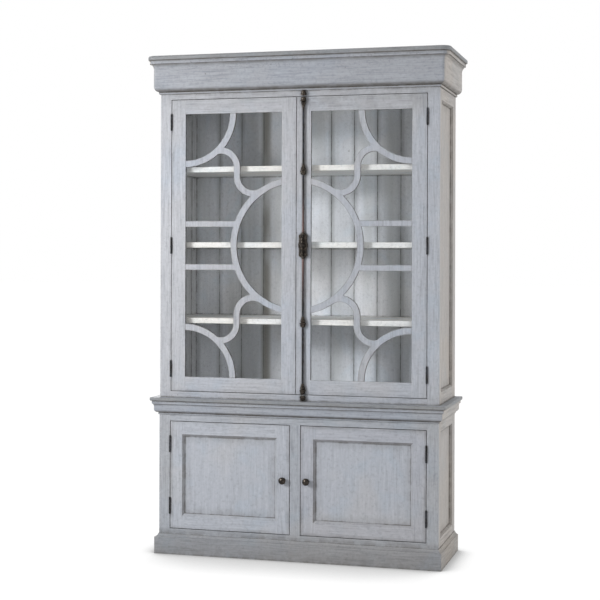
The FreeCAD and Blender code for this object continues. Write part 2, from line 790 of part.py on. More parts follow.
def make_panel_doors():
    """Panelled doors: frame, panel and knob; the left one mirrors the right one."""
    width = panel_door_outer - panel_door_inner
    height = panel_door_top - panel_door_bottom
    edge = panel_door_frame
    seat = (panel_seat_width, panel_recess, panel_recess + panel_thickness)
    frame = frame_members(width, height, (edge, edge), (edge, edge), door_thickness,
                          (panel_bevel_width, panel_bevel_depth), seat)
    frame = placed(frame, panel_door_inner, base_front_y, panel_door_bottom)
    room = panel_seat_width - panel_edge_room
    y = base_front_y + panel_recess
    panel = box(panel_door_inner + edge - room, panel_door_outer - edge + room, y, y + panel_thickness,
                panel_door_bottom + edge - room, panel_door_top - edge + room)
    knob_x = panel_door_inner + (edge - panel_bevel_width) / 2
    knob = knob_at(knob_x, panel_door_bottom + knob_height_share * height)
    for name, shapes in (("frame", frame), ("panel", [panel]), ("knob", [knob])):
        save("panel_door_right_" + name, shapes)
        save("panel_door_left_" + name, [mirrored(shape) for shape in shapes])


def hinge_set(front_y, z):
    """Right-hand butt hinge from its lower end: fixed leaf, moving leaf and pin."""
    axis_x = opening_half - door_gap / 2
    axis_y = front_y - hinge_knuckle_radius - hinge_clearance
    step = hinge_height / hinge_knuckles
    leaf_back = front_y + hinge_leaf_depth
    fixed_x = (opening_half - hinge_leaf_thickness, opening_half)
    moving_x = (opening_half - door_gap, opening_half - door_gap + hinge_leaf_thickness)
    leaves = []
    for x, first in ((fixed_x, 0), (moving_x, 1)):
        leaf = box(x[0], x[1], front_y, leaf_back, z, z + hinge_height)
        parts = []
        for index in range(first, hinge_knuckles, 2):
            low = z + index * step + (hinge_clearance / 2 if index else 0)
            high = z + (index + 1) * step - (hinge_clearance / 2 if index < hinge_knuckles - 1 else 0)
            start = Vector(axis_x, axis_y, low)
            parts.append(rod_along(hinge_knuckle_radius, start, start + Vector(0, 0, high - low)))
            parts.append(box(x[0], x[1], axis_y, front_y + hinge_leaf_thickness, low, high))
        start = Vector(axis_x, axis_y, z - overrun)
        bore = rod_along(hinge_pin_radius + running_clearance, start,
                         start + Vector(0, 0, hinge_height + 2 * overrun))
        leaves.append(leaf.fuse(parts).cut(bore).removeSplitter())
    foot = Vector(axis_x, axis_y, z)
    pin = rod_along(hinge_pin_radius, foot, foot + Vector(0, 0, hinge_height))
    for start in (foot + Vector(0, 0, hinge_height), foot - Vector(0, 0, hinge_pin_head_height)):
        pin = pin.fuse(rod_along(hinge_pin_head_radius, start, start + Vector(0, 0, hinge_pin_head_height)))
    return leaves[0], leaves[1], pin.removeSplitter()


def hinge_heights():
    """Lower ends of the hinges on a glazed and on a panelled door."""
    low = glass_door_bottom + glass_door_rail
    high = glass_door_top - glass_door_rail - hinge_height
    glazed = [low, (low + high) / 2, high]
    panelled = [panel_door_bottom + panel_hinge_inset, panel_door_top - panel_hinge_inset - hinge_height]
    return glazed, panelled


def make_hinges():
    """Ten butt hinges; the moving leaves go with their doors."""
    glazed, panelled = hinge_heights()
    fixed, pins = [], []
    for name, front_y, heights in (("glass", case_front_y, glazed), ("panel", base_front_y, panelled)):
        sets = [hinge_set(front_y, z) for z in heights]
        fixed += [leaf for leaf, moving, pin in sets]
        pins += [pin for leaf, moving, pin in sets]
        moving = [leaf for fixed_leaf, leaf, pin in sets]
        save("hinge_leaves_" + name + "_door_right", moving)
        save("hinge_leaves_" + name + "_door_left", [mirrored(leaf) for leaf in moving])
    save("hinge_leaves_fixed", fixed + [mirrored(leaf) for leaf in fixed])
    save("hinge_pins", pins + [mirrored(pin) for pin in pins])


def rack_reach():
    """How far the racks' outer faces stand from the spindle."""
    return pinion_radius + rack_gap + rack_thickness


def in_front_of_door(shape):
    """The part of a shape that stands in front of the glazed doors' face."""
    bounds = shape.BoundBox
    return shape.common(box(bounds.XMin - overrun, bounds.XMax + overrun, case_front_y - bolt_reach, case_front_y,
                            bounds.ZMin - overrun, bounds.ZMax + overrun))


def rod_guide(z, mouth_up):
    """Guide whose narrow end is at z, bored for the rod and cut off at the door's face."""
    profile = [(guide_height * along, guide_ring_radius * across) for along, across in guide_profile_shares]
    body = turned(profile, Vector(0, 0, 0))
    bore_start = Vector(0, 0, -overrun)
    bore = rod_along(rod_radius + rod_clearance, bore_start, bore_start + Vector(0, 0, guide_height + 2 * overrun))
    body = body.cut(bore)
    if not mouth_up:
        body.rotate(Vector(0, 0, 0), Vector(1, 0, 0), 180)
    body.translate(Vector(rod_x, rod_y, z))
    return in_front_of_door(body)


def make_guides():
    """End guides at the door's top and bottom, and two guides between."""
    height = glass_door_top - glass_door_bottom
    top_z = glass_door_top - guide_end_room - guide_height
    low_z = glass_door_bottom + guide_end_room + guide_height
    guides = [rod_guide(top_z, True), rod_guide(low_z, False)]
    for share in guide_place_shares:
        guides.append(rod_guide(glass_door_bottom + share * height + guide_height / 2, False))
    save("cremone_guides", guides)


def keeper(z, upward):
    """Socket on the face frame that the rod's end enters; z is its mouth."""
    profile = [(keeper_height * along, keeper_ring_radius * across) for along, across in keeper_profile_shares]
    body = turned(profile, Vector(0, 0, 0))
    start = Vector(0, 0, -overrun)
    bore = rod_along(rod_radius + keeper_bore_clearance, start, Vector(0, 0, keeper_bore_depth))
    body = body.cut(bore)
    if not upward:
        body.rotate(Vector(0, 0, 0), Vector(1, 0, 0), 180)
    body.translate(Vector(rod_x, rod_y, z))
    return in_front_of_door(body)


def make_keepers():
    """Keepers above and below the right glazed door."""
    save("cremone_keepers", [keeper(case_opening_top + keeper_room, True),
                             keeper(case_opening_bottom - keeper_room, False)])


def lock_outline(inset):
    """Outline of the lock as X, Z points, drawn in by a bevel's width."""
    width, height = lock_half_width - inset, lock_half_height - inset
    quarter = [(width * across, height * up) for across, up in lock_outline_shares]
    right = quarter + [(x, -z) for x, z in reversed(quarter)]
    return right + [(-x, z) for x, z in reversed(right)]


def outline_wire(points, y):
    """Closed wire of X, Z points in an upright plane."""
    corners = [Vector(rod_x + x, y, lock_z + z) for x, z in points]
    return Part.makePolygon(corners + corners[:1])


def make_lock():
    """Lock case: a cast cover over the pinion and the racks, with collars round the rods."""
    front = case_front_y - lock_depth
    bevel_foot = front + lock_edge_bevel
    body = Part.Face(outline_wire(lock_outline(0), bevel_foot)).extrude(Vector(0, case_front_y - bevel_foot, 0))
    bevel = Part.makeLoft([outline_wire(lock_outline(0), bevel_foot),
                           outline_wire(lock_outline(lock_edge_bevel), front)], True, True)
    half_width = rack_reach() + lock_room
    half_length = pinion_radius + rack_bridge_clearance + rack_bridge_height + rod_throw + lock_room
    hollow = box(rod_x - half_width, rod_x + half_width, front + lock_face_wall, case_front_y + overrun,
                 lock_z - half_length, lock_z + half_length)
    bevel_along, bevel_across = lock_collar_bevel_shares
    collars = []
    for side in (-1, 1):
        profile = [(side * half_length, lock_collar_radius), (side * lock_half_height, lock_collar_radius),
                   (side * (lock_half_height + lock_collar_length * bevel_along), lock_collar_radius),
                   (side * (lock_half_height + lock_collar_length), lock_collar_radius * bevel_across)]
        collars.append(in_front_of_door(turned(profile, Vector(rod_x, rod_y, lock_z))))
    reach = lock_half_height + lock_collar_length + overrun
    bore_start = Vector(rod_x, rod_y, lock_z - reach)
    bore = rod_along(rod_radius + rod_clearance, bore_start, bore_start + Vector(0, 0, 2 * reach))
    mouth = Vector(rod_x, front - overrun, lock_z)
    spindle_bore = rod_along(spindle_radius + running_clearance, mouth, mouth + Vector(0, lock_depth, 0))
    save("cremone_lock", [body.fuse([bevel] + collars).cut([hollow, bore, spindle_bore]).removeSplitter()])


def make_handle():
    """Turning handle: spindle, hub and a turned bar with a ball at each end; the pinion sits on the spindle."""
    front = case_front_y - lock_depth
    spindle_end = Vector(rod_x, rod_y + rack_width / 2 + rack_gap, lock_z)
    hub_foot = Vector(rod_x, front - hinge_clearance, lock_z)
    spindle = rod_along(spindle_radius, spindle_end, hub_foot)
    hub_profile = [(hub_height * along, hub_radius * across) for along, across in hub_profile_shares]
    hub = turned(hub_profile + [(lever_standoff, hub_radius * hub_neck_share)], hub_foot, about_y=True)
    ball_z = lever_half_length - lever_ball_radius
    half = [(ball_z + lever_ball_radius * math.sin(math.radians(angle)),
             lever_ball_radius * math.cos(math.radians(angle))) for angle in lever_ball_angles]
    arm = [(lever_half_length * along, lever_centre_radius * across) for along, across in lever_arm_shares]
    upper = arm + half
    profile = [(-along, radius) for along, radius in reversed(upper[1:])] + upper
    bar = turned(profile, Vector(rod_x, front - hinge_clearance - lever_standoff, lock_z))
    save("cremone_handle", [spindle.fuse([hub, bar]).removeSplitter()])
    start = Vector(rod_x, rod_y + pinion_thickness / 2 - rack_gap, lock_z)
    end = start - Vector(0, pinion_thickness, 0)
    pinion = rod_along(pinion_radius, start, end)
    save("cremone_pinion", [pinion.cut(rod_along(spindle_radius + running_clearance / 2, start, end))])


def make_rods():
    """Upper and lower rods with the rack plates beside the pinion."""
    outer = rack_reach()
    inner = outer - rack_thickness
    bridge = pinion_radius + rack_bridge_clearance
    half = rack_width / 2
    for name, side, tip in (("upper", 1, glass_door_top - rod_end_inset),
                            ("lower", -1, glass_door_bottom + rod_end_inset)):
        start = Vector(rod_x, rod_y, lock_z + side * bridge)
        rod = rod_along(rod_radius, start, Vector(rod_x, rod_y, tip))
        low, high = sorted((lock_z + side * bridge, lock_z + side * (bridge + rack_bridge_height)))
        near, far = sorted((rod_x - side * rod_radius, rod_x + side * outer))
        link = box(near, far, rod_y - half, rod_y + half, low, high)
        near, far = sorted((rod_x + side * inner, rod_x + side * outer))
        low, high = sorted((lock_z - side * rack_lap, lock_z + side * (bridge + rack_bridge_height)))
        rack = box(near, far, rod_y - half, rod_y + half, low, high)
        save("cremone_rod_" + name, [rod.fuse([link, rack]).removeSplitter()])


def make_catches():
    """Magnetic catches: a double one on the mullion, and two for the left glazed door."""
    y = base_front_y + frame_thickness
    half = mullion_width / 2 + catch_depth
    double = box(-half, half, y, y + catch_depth, base_opening_top - catch_drop - catch_height,
                 base_opening_top - catch_drop)
    y = case_front_y + frame_thickness
    x1 = -catch_length / 2
    low = box(x1 - catch_length, x1, y, y + catch_depth, case_opening_bottom, case_opening_bottom + catch_height)
    high = box(x1 - catch_length, x1, y, y + catch_depth, roof_underside - roof_rise - catch_height, roof_underside)
    save("magnetic_catches", [double, low, high])


make_sides()
make_face_frames()
make_mouldings()
make_boards()
make_shelves()
make_supports()
make_dowels()
make_glass_doors()
make_panel_doors()
make_hinges()
make_guides()
make_keepers()
make_lock()
make_handle()
make_rods()
make_catches()
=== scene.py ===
"""Painted display cabinet: glazed case with fretwork doors on a panelled base.

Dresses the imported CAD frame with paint, glaze, bronze and glass, adds the cast relief on the bolt's lock,
and sets the floor, the lamps and the camera. Lengths are in metres, in the frame of the CAD.
"""
import math

import bmesh
import bpy
from mathutils import Matrix, Vector


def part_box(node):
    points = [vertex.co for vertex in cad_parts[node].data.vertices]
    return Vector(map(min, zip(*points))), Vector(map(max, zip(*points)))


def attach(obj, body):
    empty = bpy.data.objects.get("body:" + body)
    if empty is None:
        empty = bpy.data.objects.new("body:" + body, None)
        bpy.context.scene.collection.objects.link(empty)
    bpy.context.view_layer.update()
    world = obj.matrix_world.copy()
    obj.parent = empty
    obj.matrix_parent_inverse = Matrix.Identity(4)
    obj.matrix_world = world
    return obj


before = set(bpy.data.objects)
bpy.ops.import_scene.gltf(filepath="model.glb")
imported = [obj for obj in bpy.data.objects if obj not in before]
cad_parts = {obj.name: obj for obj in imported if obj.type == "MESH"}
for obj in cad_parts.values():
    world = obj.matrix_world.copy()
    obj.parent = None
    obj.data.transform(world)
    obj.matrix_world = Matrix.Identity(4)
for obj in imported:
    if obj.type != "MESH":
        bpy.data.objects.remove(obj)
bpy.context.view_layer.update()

MM = 0.001
HALF = 0.5
SIDES = ("left", "right")
BOTH_WAYS = (-1.0, 1.0)
FULL_TURN = 2.0 * math.pi
QUARTER_TURN = math.pi / 2.0

# Camera, to the right of the middle and nearly level.
CAMERA_PLACE = (1.775, -6.501, 1.437)
CAMERA_TURN = math.radians(15.567)
CAMERA_ROLL = math.radians(0.184)
CAMERA_SHIFT_UP = -0.0729
FOCAL_PIXELS = 1388.0
IMAGE_SIZE = 600
SENSOR_WIDTH = 36.0

# Colours, as sRGB levels.
PAINT = (173, 177, 185)
PAINT_PALE = (192, 195, 201)
PAINT_SHADE = (141, 144, 150)
PAINT_COOL = (165, 176, 188)
PAINT_WARM = (180, 178, 178)
CORNICE_PAINT = (155, 160, 169)
# Darker paint on the edges of the cap and the waist top, a painted shade; their level tops take
# CAP_TOP_PAINT.
CAP_SHADED_PAINT = (135, 138, 142)
CAP_TOP_PAINT = (155, 159, 166)
FRETWORK_PAINT = (170, 174, 182)
SIDE_PAINT = (176, 173, 171)
SHELF_PAINT = (240, 240, 238)
INSIDE_PAINT = (216, 218, 220)
PLINTH_PAINT = (143, 145, 149)
PLINTH_SIDE_PAINT = (158, 154, 150)
BASE_FACE_PAINT = (162, 166, 173)
BASE_DOOR_PAINT = {"left": PAINT, "right": (169, 172, 180)}
# Paler paint on the doors' outer flanks, a painted highlight that lightens the gaps round the doors.
EDGE_PAINTED_LIGHT = (184, 187, 194)
BOARD_PAINT = (242, 245, 252)
BOARD_DARK = (196, 199, 198)
# Glaze and painted shade beside the back boards' joints.
BOARD_GLAZE_AND_SHADE = (132, 136, 136)
# Dark glaze, also laid as painted shade in hollows, under things and on faces turned from the light.
GLAZE_AND_SHADE = (88, 83, 76)
# Olive dark band on the back boards' front, a painted shadow.
PAINTED_SHADOW_BAND = (122, 118, 104)
# Pale primer on the arrises, from rubbing and as a painted highlight.
PRIMER_AND_HIGHLIGHT = (214, 213, 208)
BRONZE = (66, 60, 54)
BRONZE_DARK = (36, 33, 31)
# Pale bronze for the arrises, from wear and as a painted highlight.
BRONZE_WORN_AND_HIGHLIGHT = (164, 146, 128)
BRONZE_RUST = (118, 93, 87)
IRON = (42, 44, 50)
IRON_WORN = (92, 92, 94)
NICKEL = (176, 176, 172)
NICKEL_DULL = (128, 128, 126)
BARE_WOOD = (196, 164, 122)
BARE_WOOD_DARK = (160, 124, 84)
CATCH_SHELL = (206, 202, 190)
CATCH_SHELL_DULL = (176, 171, 158)

# Noises, as scale, detail, roughness and distortion.
COARSE_GRAIN = (1.0, 3.0, 0.6, 0.25)
FINE_GRAIN = (3.3, 3.0, 0.65, 0.1)
BROAD = (2.6, 2.0, 0.5, 0.0)
PATCHES = (7.5, 2.0, 0.5, 0.6)
MOTTLE = (75.0, 3.0, 0.6, 0.4)
UNEVEN = (22.0, 2.0, 0.55, 0.0)
SOFT = (1.0, 2.0, 0.5, 0.0)
SPECKS = (1.0, 2.0, 0.6, 0.0)
METAL_MOTTLE = (60.0, 4.0, 0.6, 0.5)
METAL_SPECKS = (260.0, 3.0, 0.6, 0.0)
SMUDGES = (14.0, 3.0, 0.6, 0.0)
PLAIN_GRAIN = (1.0, 4.0, 0.6, 0.3)

# How fast a texture changes along x, y and z, or across and along a board.
GRAIN_ACROSS = 130.0
GRAIN_ALONG = 6.5
PLAIN_GRAIN_LENGTH = 12.0
BAND_SCALE = (9.0, 9.0, 0.7)
RUN_SCALE = (14.0, 14.0, 2.6)
SPECK_SCALE = (150.0, 150.0, 230.0)
WAVE_SCALE = (5.0, 5.0, 2.0)
DENT_SCALE = 11.0

# Brush strokes and tones: from and to which value of the noise, and the most they show.
COOL_PATCHES = (0.50, 0.68, 0.0, 0.42)
WARM_PATCHES = (0.47, 0.60, 0.0, 0.42)
PALE_COARSE = (0.50, 0.74, 0.48)
SHADE_COARSE = (0.50, 0.26, 0.55)
PALE_FINE = (0.52, 0.75, 0.34)
SHADE_FINE = (0.48, 0.25, 0.52)
PALE_MOTTLE = (0.52, 0.74, 0.36)
SHADE_MOTTLE = (0.48, 0.28, 0.42)
STREAK = 1.25

# Back boards: their pitch, the first joint, and the shares of what lies on them.
BOARD_PITCH = 118.0 * MM
FIRST_JOINT = -649.0 * MM
BOARD_TONES = (0.0, 1.0, 0.0, 0.30)
BOARD_BANDS = (0.46, 0.66, 0.0, 0.55)
# Glaze and painted shade beside each joint: from and to which distance, and its share, in runs.
BESIDE_JOINT = (2.0 * MM, 25.0 * MM, 0.50, 0.0)
JOINT_RUN = (0.30, 0.62, 0.35, 1.0)
# A painted shadow: an upright dark band on the boards' front: its middle, its width and its breaks.
PAINTED_SHADOW_X = -280.0 * MM
BESIDE_PAINTED_SHADOW = (6.0 * MM, 34.0 * MM, 0.80, 0.0)
PAINTED_SHADOW_RUN = (0.32, 0.60, 0.45, 1.0)

# Glaze and painted shade: where they start and end, and how much of them stays.
HOLLOW_REACH = 13.0 * MM
HOLLOW_SHARE = 0.85
HOLLOWS = (0.86, 0.52)
HOLD = 0.45
UNEVEN_LEAST = 0.45
UNEVEN_SHARE = (0.35, 0.62, UNEVEN_LEAST, 1.0)
# Painted shade on faces that look down: from and to which upward part of the normal.
FACES_DOWN = (-0.25, -0.85)
# Glaze and painted shade along a panel's edges: heavy at the first side and the top, a line, and a broad
# cloud.
PANEL_SHADE_HEAVY = (0.0, 9.0 * MM, 0.80, 0.0)
PANEL_SHADE_LINE = (0.0, 7.0 * MM, 0.85, 0.0)
PANEL_SHADE_CLOUD = (0.0, 46.0 * MM, 0.26, 0.0)
RIM_REACH = 20.0 * MM
RIM_PATCHES = (0.38, 0.60, 0.25, 1.0)
JOINT_LINE = (0.0, 0.9 * MM, 1.0, 0.0)
JOINT_PATCHES = (0.45, 0.66, 0.05, 0.40)
# Glaze and painted shade on slanted and edge-on faces: how they face, how far they turn from the light, and
# the least of it that stays.
BEVEL_FACE = (0.96, 0.88)
BEVEL_AWAY = (0.0, 0.35)
BEVEL_HOLD = 0.75
FLANK_FACE = (0.55, 0.35)
FLANK_AWAY = (-0.2, 0.5)
FLANK_HOLD = 0.70
# The share of it on faces that turn towards the light.
TOWARD_LIGHT_SHARE = 0.30
# Edge-on faces outside the opening get paler paint, a painted highlight in the door gaps: how far beyond the
# opening, and its share.
EDGE_REACH = 12.0 * MM
EDGE_LIGHT_SHARE = 0.85
SPOT_PATCHES = (0.40, 0.60, 0.35, 1.0)
SPOT_SPECKS = (0.58, 0.68, 0.0, 0.75)
OUTLINE_REACH = 4.5 * MM
OUTLINE_ROOM = (0.97, 0.60)
OUTLINE_HOLD = 0.55
ON_GLASS_FACE = 0.9
BACK_FACE = 0.5
LEVEL_FACE = (0.85, 0.97, 0.0, 1.0)

# Arrises pale from rubbing and as a painted highlight, dents and gloss of the paint.
ARRIS_RADIUS = 1.3 * MM
ARRIS = (0.995, 0.86, 0.0, 1.0)
ARRIS_GRAIN = (0.42, 0.60, 0.10)
ARRIS_RUB_AND_HIGHLIGHT = 0.60
ARRIS_OPEN = (0.80, 0.95, 0.0, 1.0)
DENT = (0.030, 0.055, 0.0, 1.0)
DENT_PATCHES = 0.47
DENT_GLAZE = 0.45
COARSE_RELIEF = 0.55
FINE_RELIEF = 0.45
DENT_RELIEF = 1.2
PAINT_BUMP = (0.45, 0.35 * MM)
PAINT_ROUGH = (0.30, 0.70, 0.62, 0.46)
PAINT_SPECULAR = 0.38

# Metal.
METAL_RADIUS = 1.2 * MM
METAL_REACH = 5.0 * MM
METAL_DARK = (0.42, 0.62, 0.0, 1.0)
METAL_ARRIS = (0.99, 0.80, 0.0, 1.0)
METAL_ARRIS_SPECKS = (0.35, 0.60, 0.3, 1.0)
METAL_WORN_AND_HIGHLIGHT = 0.7
METAL_HOLLOWS = (0.85, 0.45, 0.0, 0.8)
METAL_MOTTLE_RELIEF = 0.6
METAL_SPECK_RELIEF = 0.4
METAL_BUMP = (0.5, 0.25 * MM)
METAL_ROUGH = (0.3, 0.7)
SMOOTHER = 0.08
ROUGHER = 0.12
METAL_SHINE = 0.85
RUST_SHARE = 0.85
RUST_SPECKS = (0.35, 0.55, 0.35, 1.0)
RUST_REACH = 0.30

# Glass and bare materials.
GLASS_BUMP = (0.25, 0.6 * MM)
GLASS_TINT = (0.975, 0.979, 0.982, 1.0)
GLASS_ROUGH = (0.4, 0.7, 0.015, 0.07)
GLASS_SMUDGE = (0.3, 0.7, 0.85, 1.0)
GLASS_IOR = 1.45
PLAIN_TONES = (0.35, 0.65, 0.0, 1.0)
PLAIN_BUMP = (0.3, 0.2 * MM)
PLAIN_ROUGH = (0.3, 0.7)

BEVEL_SAMPLES = 4
METAL_SAMPLES = 4
HOLLOW_SAMPLES = 6
OUTLINE_SAMPLES = 8
FLOOR_SAMPLES = 16
WHITE = (1.0, 1.0, 1.0, 1.0)


def linear(levels):
    """An sRGB colour in levels of 0 to 255 as linear values with alpha."""
    top, knee, slope, offset, power = 255.0, 0.04045, 12.92, 0.055, 2.4
    values = []
    for level in levels:
        part = level / top
        values.append(part / slope if part <= knee else ((part + offset) / (1.0 + offset)) ** power)
    return (*values, 1.0)


class Nodes:
    """The nodes of a material or of the world."""

    def __init__(self, owner):
        owner.use_nodes = True
        self.tree = owner.node_tree
        self.tree.nodes.clear()

    def feed(self, socket, value):
        """Links value to socket where it is an output, and otherwise sets it."""
        if isinstance(value, bpy.types.NodeSocket):
            self.tree.links.new(value, socket)
        else:
            socket.default_value = value

    def node(self, kind, inputs=None, **settings):
        """A new node with its settings and inputs."""
        made = self.tree.nodes.new(kind)
        for key, value in settings.items():
            setattr(made, key, value)
        for key, value in (inputs or {}).items():
            self.feed(made.inputs[key], value)
        return made

    def math(self, operation, first, second=0.0):
        """One Math node's output."""
        return self.node("ShaderNodeMath", {0: first, 1: second}, operation=operation).outputs[0]

    def times(self, first, second):
        return self.math("MULTIPLY", first, second)

    def plus(self, first, second):
        return self.math("ADD", first, second)

    def minus(self, first, second):
        return self.math("SUBTRACT", first, second)

    def most(self, first, second):
        return self.math("MAXIMUM", first, second)

    def least(self, first, second):
        return self.math("MINIMUM", first, second)

    def below(self, value, limit):
        return self.math("LESS_THAN", value, limit)

    def above(self, value, limit):
        return self.math("GREATER_THAN", value, limit)

    def size(self, value):
        return self.math("ABSOLUTE", value)

    def mix_shaders(self, share, first, second):
        """A mix of two shaders."""
        return self.node("ShaderNodeMixShader", {0: share, 1: first, 2: second}).outputs[0]

    def seen(self):
        """1 for a ray from the camera, also by way of a mirror or through glass."""
        path = self.node("ShaderNodeLightPath").outputs
        return self.most(self.most(path["Is Camera Ray"], path["Is Glossy Ray"]), path["Is Transmission Ray"])


class Material(Nodes):
    """The nodes of one material, by the place and the face of a point of the object."""

    def __init__(self, name):
        self.material = bpy.data.materials.new(name)
        super().__init__(self.material)
        coordinates = self.node("ShaderNodeTexCoord")
        self.place = coordinates.outputs["Object"]
        self.axes = self.split(self.place)
        self.faces = self.split(coordinates.outputs["Normal"])

    def split(self, vector):
        """The three parts of a vector, by axis."""
        parts = self.node("ShaderNodeSeparateXYZ", {"Vector": vector}).outputs
        return {axis: parts[axis.upper()] for axis in "xyz"}

    def stretched(self, scale):
        """The place, scaled on each axis."""
        inputs = {0: self.place, 1: scale}
        return self.node("ShaderNodeVectorMath", inputs, operation="MULTIPLY").outputs["Vector"]

    def apart(self, axis, middle):
        """The distance from middle along one axis."""
        return self.size(self.minus(self.axes[axis], middle))

    def between(self, value, low, high, least=0.0, most=1.0):
        """value taken smoothly from low..high to least..most, and held beyond."""
        inputs = {"Value": value, "From Min": low, "From Max": high, "To Min": least, "To Max": most}
        return self.node("ShaderNodeMapRange", inputs, interpolation_type="SMOOTHSTEP").outputs["Result"]

    def mix(self, share, first, second):
        """A mix of two colours."""
        made = self.node("ShaderNodeMix", {0: share, 6: first, 7: second}, data_type="RGBA")
        return made.outputs[2]

    def mix_places(self, share, first, second):
        """A mix of two vectors."""
        made = self.node("ShaderNodeMix", {0: share, 4: first, 5: second}, data_type="VECTOR")
        return made.outputs[1]

    def noise(self, place, settings):
        """A noise texture's value."""
        scale, detail, rough, bend = settings
        inputs = {"Vector": place, "Scale": scale, "Detail": detail, "Roughness": rough, "Distortion": bend}
        return self.node("ShaderNodeTexNoise", inputs).outputs["Fac"]

    def openness(self, reach, samples, normal=None, inside=False):
        """How open a point is within reach, outward or into the solid."""
        inputs = {"Distance": reach}
        if normal:
            inputs["Normal"] = normal
        made = self.node("ShaderNodeAmbientOcclusion", inputs, samples=samples, inside=inside)
        return made.outputs["AO"]

    def round_edges(self, radius):
        """The normal with rounded edges, and how far it agrees with the true one."""
        rounded = self.node("ShaderNodeBevel", {"Radius": radius}, samples=BEVEL_SAMPLES).outputs["Normal"]
        true_normal = self.node("ShaderNodeNewGeometry").outputs["Normal"]
        agree = self.node("ShaderNodeVectorMath", {0: rounded, 1: true_normal}, operation="DOT_PRODUCT")
        return rounded, agree.outputs["Value"]

    def bump(self, settings, height, normal=None):
        """The normal with a relief on it."""
        strength, distance = settings
        inputs = {"Strength": strength, "Distance": distance, "Height": height}
        if normal:
            inputs["Normal"] = normal
        return self.node("ShaderNodeBump", inputs).outputs["Normal"]

    def principled(self, **inputs):
        """A Principled surface, as the finished material."""
        named = {key.replace("_", " "): value for key, value in inputs.items()}
        return self.finish(self.node("ShaderNodeBsdfPrincipled", named).outputs["BSDF"])

    def finish(self, shader):
        """Links the surface and gives the material."""
        self.node("ShaderNodeOutputMaterial", {"Surface": shader})
        return self.material


def grain_scale(axis):
    """How fast the grain changes along x, y and z, for boards that run along axis."""
    return tuple(GRAIN_ALONG if name == axis else GRAIN_ACROSS for name in "xyz")


